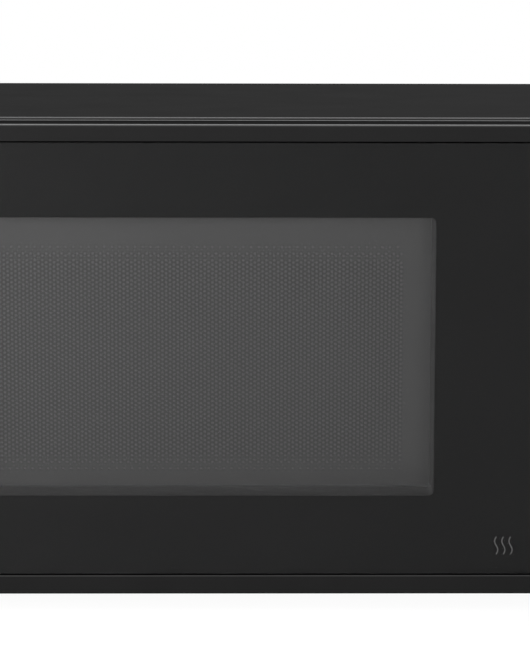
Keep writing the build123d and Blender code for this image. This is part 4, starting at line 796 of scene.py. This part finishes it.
def dialGrip():
    look = dialLook
    front, back = dialLow.y, fasciaFront - look["gap"]
    radius, bevel = look["radius"], look["bevel"]
    skirtEnd = back - look["skirt"]
    nose = stepsFrom(radius, front, look["nose"])
    fluteStart, fluteEnd = skirtEnd - look["neck"], nose[1][1]

    def flute(angle, height):
        if height > fluteStart or height < fluteEnd:
            return 1.0
        return 1.0 - look["fluteDepth"] * (0.5 + 0.5 * math.cos(look["flutes"] * angle)) ** 2

    profile = [
        (look["stem"], dialHigh.y), (look["stem"], back), (radius - bevel, back), (radius, back - bevel),
        (radius, skirtEnd), (radius - bevel, skirtEnd - bevel), (radius - look["neck"], fluteStart), *nose,
    ]
    profile += stepsFrom(look["cap"], front, look["seat"])
    turned = lathe(profile, dialCentre, "y", look["flutes"] * look["fluteSteps"], flute)
    grip = makePiece("dialGrip", *turned, "blackMoulding", "dial", "control_trim")
    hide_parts("dial_knob")
    dish = stepsFrom(look["cap"], front, look["capEdge"])
    for step in range(1, look["dishSteps"] + 1):  # a shallow dish towards the middle
        share = step / look["dishEnd"]
        depth = front + look["dishLip"] + look["dish"] * math.sin(share * math.pi / 2)
        dish.append(((look["cap"] - look["dishRim"]) * (1 - share), depth))
    turned = lathe(dish, dialCentre, "y", look["capSides"])
    makePiece("dialCap", *turned, "spunMetal", "dial", "control_trim")
    half = look["pointerWidth"] / 2
    left, right = dialCentre[0] - half, dialCentre[0] + half
    bottom, top = dialCentre[2] + look["pointerLow"], dialCentre[2] + look["pointerHigh"]
    loops = []
    for inset, depth in look["pointerRows"]:
        inset *= mm
        sides = (left + inset, right - inset, bottom + inset, top - inset)
        outline = roundedOutline(*sides, half - inset - look["pointerFlat"], look["pointerSteps"])
        loops.append(atDepth(outline, front + depth * mm))
    makePiece("dialPointer", *loftLoops(loops), "switchPlastic", "dial", "control_trim")


dialGrip()
print("dial and springs made")

# cross-recess screws along the rear edges of the cabinet
screwLook = {
    "head": 3.4 * mm, "shank": 1.75 * mm, "tip": 0.4 * mm, "point": 1.6 * mm, "headHeight": 2.0 * mm,
    "dome": [(1.0, 0.0), (1.0, 0.55), (0.95, 1.05), (0.84, 1.5), (0.7, 1.82)],  # share of the head, mm up
    "crown": 0.58, "armLength": 1.7 * mm, "armWidth": 0.42 * mm, "between": (25, 36, 45), "recess": 1.1 * mm,
    "recessFloor": 0.82, "firstTurn": 23, "nextTurn": 31,
}


def crossScrews():
    look = screwLook
    tipAngle = math.degrees(math.atan(look["armWidth"] / look["armLength"]))
    near, far, middle = look["between"]
    offsets = (-middle, -far, -near, -tipAngle, -tipAngle / 2, 0, tipAngle / 2, tipAngle, near, far)
    angles = [math.radians(90 * quarter + offset) for quarter in range(4) for offset in offsets]
    reaches = []  # how far the cross runs out at each angle
    for offset in offsets:
        lean = math.radians(abs(offset))
        inArm = abs(offset) <= tipAngle + 0.01
        reaches.append(look["armLength"] / math.cos(lean) if inArm else look["armWidth"] / math.sin(lean))
    reaches *= 4
    parts = []
    for number, (low, high) in enumerate(solidBoxes("cabinet_screws")):
        centre = (low + high) / 2
        seat = high.y - look["headHeight"]
        turn = math.radians(look["firstTurn"] + look["nextTurn"] * number)
        turned = [(math.cos(angle + turn), math.sin(angle + turn)) for angle in angles]

        def ring(radii, y):
            return [(centre.x + r * x, y, centre.z + r * z) for (x, z), r in zip(turned, radii)]

        rows = [(look["tip"], low.y), (look["shank"], low.y + look["point"]), (look["shank"], seat)]
        rows += [(look["head"] * share, seat + height * mm) for share, height in look["dome"]]
        rows.append((look["head"] * look["crown"], high.y))
        loops = [ring([radius] * len(angles), y) for radius, y in rows]
        loops.append(ring(reaches, high.y))
        loops.append(ring([look["recessFloor"] * reach for reach in reaches], high.y - look["recess"]))
        parts.append(loftLoops(loops))
    piece = makePiece("crossScrews", *joinParts(parts), "zincScrew", "cabinet", "zinc_screws")
    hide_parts("cabinet_screws")


crossScrews()

# rubber feet with a grooved tread and a recess for the fixing
footLook = {
    "eye": 0.5 * mm, "recess": 4.0 * mm, "recessDepth": 2.2 * mm, "lean": 2.0 * mm, "sides": 48,
    "mouth": [(0.2, 0.3), (0.6, 0.0)],  # from the recess
    "groove": 7.4 * mm, "grooveWidth": 1.2 * mm, "grooveDepth": 0.6 * mm, "grooveSlope": 0.2 * mm,
    "edge": [(-0.9, 0.0), (-0.3, 0.25), (0.05, 0.9)],  # from the tread
    "flange": [(-0.7, -2.4), (0.0, -2.0), (0.0, 0.0)],  # from the upper rim
}


def rubberFeet():
    look = footLook
    groove, grooveEnd, slope = look["groove"], look["groove"] + look["grooveWidth"], look["grooveSlope"]
    parts = []
    for low, high in solidBoxes("feet"):
        top = (high.x - low.x) / 2
        tread = top - look["lean"]  # the sides lean out towards the base
        profile = [(look["eye"], look["recessDepth"]), (look["recess"], look["recessDepth"])]
        profile += stepsFrom(look["recess"], 0, look["mouth"])
        profile += [(groove - slope, 0), (groove, look["grooveDepth"])]
        profile += [(grooveEnd, look["grooveDepth"]), (grooveEnd + slope, 0)]
        profile += stepsFrom(tread, 0, look["edge"]) + stepsFrom(top, high.z, look["flange"])
        parts.append(lathe(profile, (low + high) / 2, "z", look["sides"]))
    piece = makePiece("rubberFeet", *joinParts(parts), "footRubber", "cabinet", "foot_rubber")
    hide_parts("feet")


rubberFeet()

# glass tray: a turned dish with a rounded rim and three lugs below
trayLook = {
    "thickness": 5.0 * mm, "rimWidth": 9.0 * mm, "eye": 0.5 * mm, "sides": 128,
    "heel": [(-2.5, 0.0), (-0.6, 0.25), (0.8, 1.2)],  # from the floor's edge and the underside
    "rim": [  # from the outer edge and the top
        (-0.35, -2.0), (0.0, -1.3), (0.0, -0.5), (-0.25, -0.12), (-0.75, 0.0), (-1.4, -0.1), (-1.9, -0.5),
    ],
    "cove": [(-0.2, 1.0), (-1.6, 0.3), (-3.6, 0.0)],  # from the floor's edge and the floor
    "rings": (90.0 * mm, 60.0 * mm, 30.0 * mm), "ringShape": [(1.2, 0.0), (0.0, -0.35), (-1.2, 0.0)],
    "lugRing": 7.4 * mm, "lugAngle": 60, "lug": 3.0 * mm, "lugDepth": 3.1 * mm, "lugEye": 0.4 * mm,
    "lugSides": 24, "lugFoot": [(-0.6, 0.0), (-0.1, 0.5)], "lugTop": [(0.0, -0.3), (0.0, 0.2)],
}


def glassTray():
    look = trayLook
    centre = (trayLow + trayHigh) / 2
    radius = (trayHigh.x - trayLow.x) / 2
    under = trayLow.z + look["lugDepth"]
    floorTop = under + look["thickness"]
    inner = radius - look["rimWidth"]
    profile = [(look["eye"], under)] + stepsFrom(inner, under, look["heel"])
    profile += stepsFrom(radius, trayHigh.z, look["rim"]) + stepsFrom(inner, floorTop, look["cove"])
    for ring in look["rings"]:  # shallow pressed rings in the floor of the dish
        profile += stepsFrom(ring, floorTop, look["ringShape"])
    profile.append((look["eye"], floorTop))
    parts = [lathe(profile, centre, "z", look["sides"])]
    lug = [(look["lugEye"], trayLow.z)] + stepsFrom(look["lug"], trayLow.z, look["lugFoot"])
    lug += stepsFrom(look["lug"], under, look["lugTop"])
    for k in range(3):
        angle = math.radians(look["lugAngle"] + 120 * k)
        across, along = look["lugRing"] * math.cos(angle), look["lugRing"] * math.sin(angle)
        parts.append(lathe(lug, (centre[0] + across, centre[1] + along, 0), "z", look["lugSides"]))
    piece = makePiece("glassTray", *joinParts(parts), "trayGlass", "tray", "tray_glass")
    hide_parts("turntable_tray")


glassTray()
print("screws, feet and tray made")

# lit figures of the display, behind the lens
figureLook = {
    "shown": "1200", "height": 12.6 * mm, "width": 6.6 * mm, "bar": 1.25 * mm, "gap": 0.16 * mm,
    "step": 10.0 * mm, "slant": 0.09, "colon": 5.4 * mm, "dots": (0.3, 0.7), "dotWidth": 1.3,
    "proud": 0.06 * mm, "sunk": 0.04 * mm,
}
figureBars = {"1": "bc", "2": "abged", "0": "abcdef"}  # a at the top, then clockwise, g across the middle


def displayFigures():
    look = figureLook
    width, height, bar = look["width"], look["height"], look["bar"]
    front, back = moduleLow.y - look["proud"], moduleLow.y + look["sunk"]
    middle = (moduleLow + moduleHigh) / 2
    ends = {
        "a": ((0, height), (width, height)), "b": ((width, height), (width, height / 2)),
        "c": ((width, height / 2), (width, 0)), "d": ((0, 0), (width, 0)), "e": ((0, height / 2), (0, 0)),
        "f": ((0, height), (0, height / 2)), "g": ((0, height / 2), (width, height / 2)),
    }
    parts = []

    def addBar(start, end, left, thick):
        start, end = Vector(start), Vector(end)
        along = (end - start).normalized()
        side = Vector((-along.y, along.x)) * thick / 2
        start, end = start + along * look["gap"], end - along * look["gap"]
        tip = along * thick / 2
        outline = [start, start + tip + side, end - tip + side, end, end - tip - side, start + tip - side]
        place = []
        for point in outline:
            fromMiddle = point.y - height / 2
            place.append((left + point.x + look["slant"] * fromMiddle, middle.z + fromMiddle))
        parts.append(loftLoops([atDepth(place, front), atDepth(place, back)]))

    span = 3 * look["step"] + look["colon"] + width
    for number, figure in enumerate(look["shown"]):
        left = middle.x - span / 2 + number * look["step"] + (look["colon"] if number > 1 else 0)
        for name in figureBars[figure]:
            addBar(*ends[name], left, bar)
    dotX = middle.x - span / 2 + look["step"] + width + (look["step"] - width + look["colon"]) / 2
    for share in look["dots"]:
        addBar((0, height * share - bar), (0, height * share + bar), dotX, bar * look["dotWidth"])
    makePiece("displayFigures", *joinParts(parts), "segmentGlow", "cabinet", "lens")


displayFigures()

# printed marks: ticks round the dial and a plain sign on each key
printLook = {
    "line": 0.5 * mm, "proud": 0.02 * mm, "sunk": 0.03 * mm, "tickIn": 22.2 * mm, "tickOut": 24.4 * mm,
    "longTick": 1.0 * mm, "ticks": 11, "sweep": 150, "signLine": 0.6 * mm, "signHalf": 2.4 * mm,
}


def dialTicks():
    look = printLook
    front, back = fasciaFront - look["proud"], fasciaFront + look["sunk"]
    last = look["ticks"] - 1
    parts = []
    for i in range(look["ticks"]):
        angle = math.radians(90 - look["sweep"] + 2 * look["sweep"] * i / last)
        across, upright = math.cos(angle), math.sin(angle)
        out = look["tickOut"] + (look["longTick"] if i in (0, look["ticks"] // 2, last) else 0)
        path = [(dialCentre[0] + r * across, dialCentre[2] + r * upright) for r in (look["tickIn"], out)]
        parts.append(ribbonAlong(path, look["line"], front, back))
    makePiece("dialTicks", *joinParts(parts), "printPale", "cabinet", "control_trim")


def keySigns():
    look = printLook
    half = look["signHalf"]
    signs = {  # lines through points of a square from -1 to 1
        "key_1": [[(-1, 0), (1, 0)]],
        "key_2": [[(-1, 0), (1, 0)], [(0, -1), (0, 1)]],
        "key_3": [[(-1, 1), (1, 1), (1, -1), (-1, -1), (-1, 1)]],
        "key_4": [[(-1, 1), (1, 0), (-1, -1), (-1, 1)]],
    }
    for name, lines in signs.items():
        low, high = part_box(name)
        middle = (low + high) / 2
        front, back = low.y - look["proud"], low.y + look["sunk"]
        parts = []
        for line in lines:
            for ends in zip(line, line[1:]):
                path = [(middle.x + half * x, middle.z + half * z) for x, z in ends]
                parts.append(ribbonAlong(path, look["signLine"], front, back))
        makePiece("sign_" + name, *joinParts(parts), "printPale", name, "control_trim")


dialTicks()
keySigns()
print("marks printed")


# pale floor, white surroundings and soft lamps
studioLook = {
    "ambient": 0.3, "white": 1.0, "floorSize": 14.0, "floorWhite": 0.925, "floorDark": grey(0.24),
    "floorPale": grey(0.25), "floorCloud": 3.0, "floorBounce": (0.6, 0.6, 0.6, 1.0), "floorGap": 0.1 * mm,
}


def backgroundRays(tree):  # 1 for rays that see the surroundings, 0 for the light that falls on the oven
    path = addNode(tree, "LightPath").outputs
    seen = path["Is Camera Ray"]
    for ray in ("Is Glossy Ray", "Is Transmission Ray"):
        seen = addNode(tree, "Math", {0: seen, 1: path[ray]}, operation="MAXIMUM").outputs[0]
    return seen


def floorPaper(tree, look):
    tone = blendColour(tree, grain(tree, look["floorCloud"]), look["floorDark"], look["floorPale"])
    lit = addNode(tree, "BsdfDiffuse", {"Color": tone})
    white = addNode(tree, "Emission", {"Color": pureWhite, "Strength": look["floorWhite"]})
    both = addNode(tree, "AddShader", {0: lit.outputs[0], 1: white.outputs[0]})
    bounce = addNode(tree, "BsdfDiffuse", {"Color": look["floorBounce"]})
    mixed = addNode(tree, "MixShader", {0: backgroundRays(tree), 1: bounce.outputs[0], 2: both.outputs[0]})
    return mixed.outputs[0]


def studioFloor():
    look = studioLook
    addFinish("studioFloor", floorPaper, look)
    half = look["floorSize"] / 2
    corners = [(x * half, y * half, -look["floorGap"]) for x, y in ((-1, -1), (1, -1), (1, 1), (-1, 1))]
    mesh = bpy.data.meshes.new("studioFloor")
    mesh.from_pydata(corners, [], [(0, 1, 2, 3)])
    mesh.materials.append(finishes["studioFloor"])
    floor = addObject("studioFloor", mesh)


def studioWorld():
    world = bpy.data.worlds.new("studioWorld")
    bpy.context.scene.world = world
    world.use_nodes = True
    tree = world.node_tree
    tree.nodes.clear()
    dim = addNode(tree, "Background", {"Color": pureWhite, "Strength": studioLook["ambient"]})
    white = addNode(tree, "Background", {"Color": pureWhite, "Strength": studioLook["white"]})
    mixed = addNode(tree, "MixShader", {0: backgroundRays(tree), 1: dim.outputs[0], 2: white.outputs[0]})
    output = addNode(tree, "OutputWorld")
    tree.links.new(mixed.outputs[0], output.inputs["Surface"])


softboxes = {
    "overheadSoftbox": {"place": (0.0, 0.25, 1.35), "aim": (0, 0.1, 0.2), "size": (1.6, 0.8), "watts": 11.4},
    "leftSoftbox": {
        "place": (-0.9, -1.1, 0.26), "aim": (-0.1, -0.18, 0.15), "size": (1.1, 0.45), "watts": 11.8,
    },
    "frontSoftbox": {"place": (0.1, -2.3, 0.42), "aim": (0, -0.18, 0.14), "size": (1.4, 0.5), "watts": 4.8},
    "rearSoftbox": {"place": (1.4, 0.9, 0.9), "aim": (0.1, 0.1, 0.15), "size": (0.8, 0.8), "watts": 9.0},
}


def addSoftbox(name, look):
    lamp = bpy.data.lights.new(name, "AREA")
    lamp.shape = "RECTANGLE"
    lamp.size, lamp.size_y = look["size"]
    lamp.energy = look["watts"]
    box = addObject(name, lamp)
    box.location = look["place"]
    aim = Vector(look["aim"]) - Vector(look["place"])
    box.rotation_mode = "QUATERNION"
    box.rotation_quaternion = aim.to_track_quat("-Z", "Y")


studioFloor()
studioWorld()
for name, look in softboxes.items():
    addSoftbox(name, look)

cameraLook = {
    "place": (-0.02034, -1.778, 0.38573), "yaw": 0.7294, "pitch": 8.1452, "roll": 0.1403, "lens": 159.522,
    "sensor": 36.0,
}


def addCamera():
    look = cameraLook
    yaw, pitch, roll = (math.radians(look[key]) for key in ("yaw", "pitch", "roll"))
    forward = Vector((math.sin(yaw) * math.cos(pitch), math.cos(yaw) * math.cos(pitch), -math.sin(pitch)))
    level = Vector((math.cos(yaw), -math.sin(yaw), 0))
    upright = level.cross(forward)
    across = math.cos(roll) * level + math.sin(roll) * upright
    up = math.cos(roll) * upright - math.sin(roll) * level
    data = bpy.data.cameras.new("photoCamera")
    data.lens = look["lens"]
    data.sensor_width = look["sensor"]
    camera = addObject("photoCamera", data)
    turn = Matrix((across, up, -forward)).transposed().to_4x4()
    camera.matrix_world = Matrix.Translation(look["place"]) @ turn
    bpy.context.scene.camera = camera


addCamera()
bpy.context.scene.view_settings.view_transform = "Standard"
print("studio set")
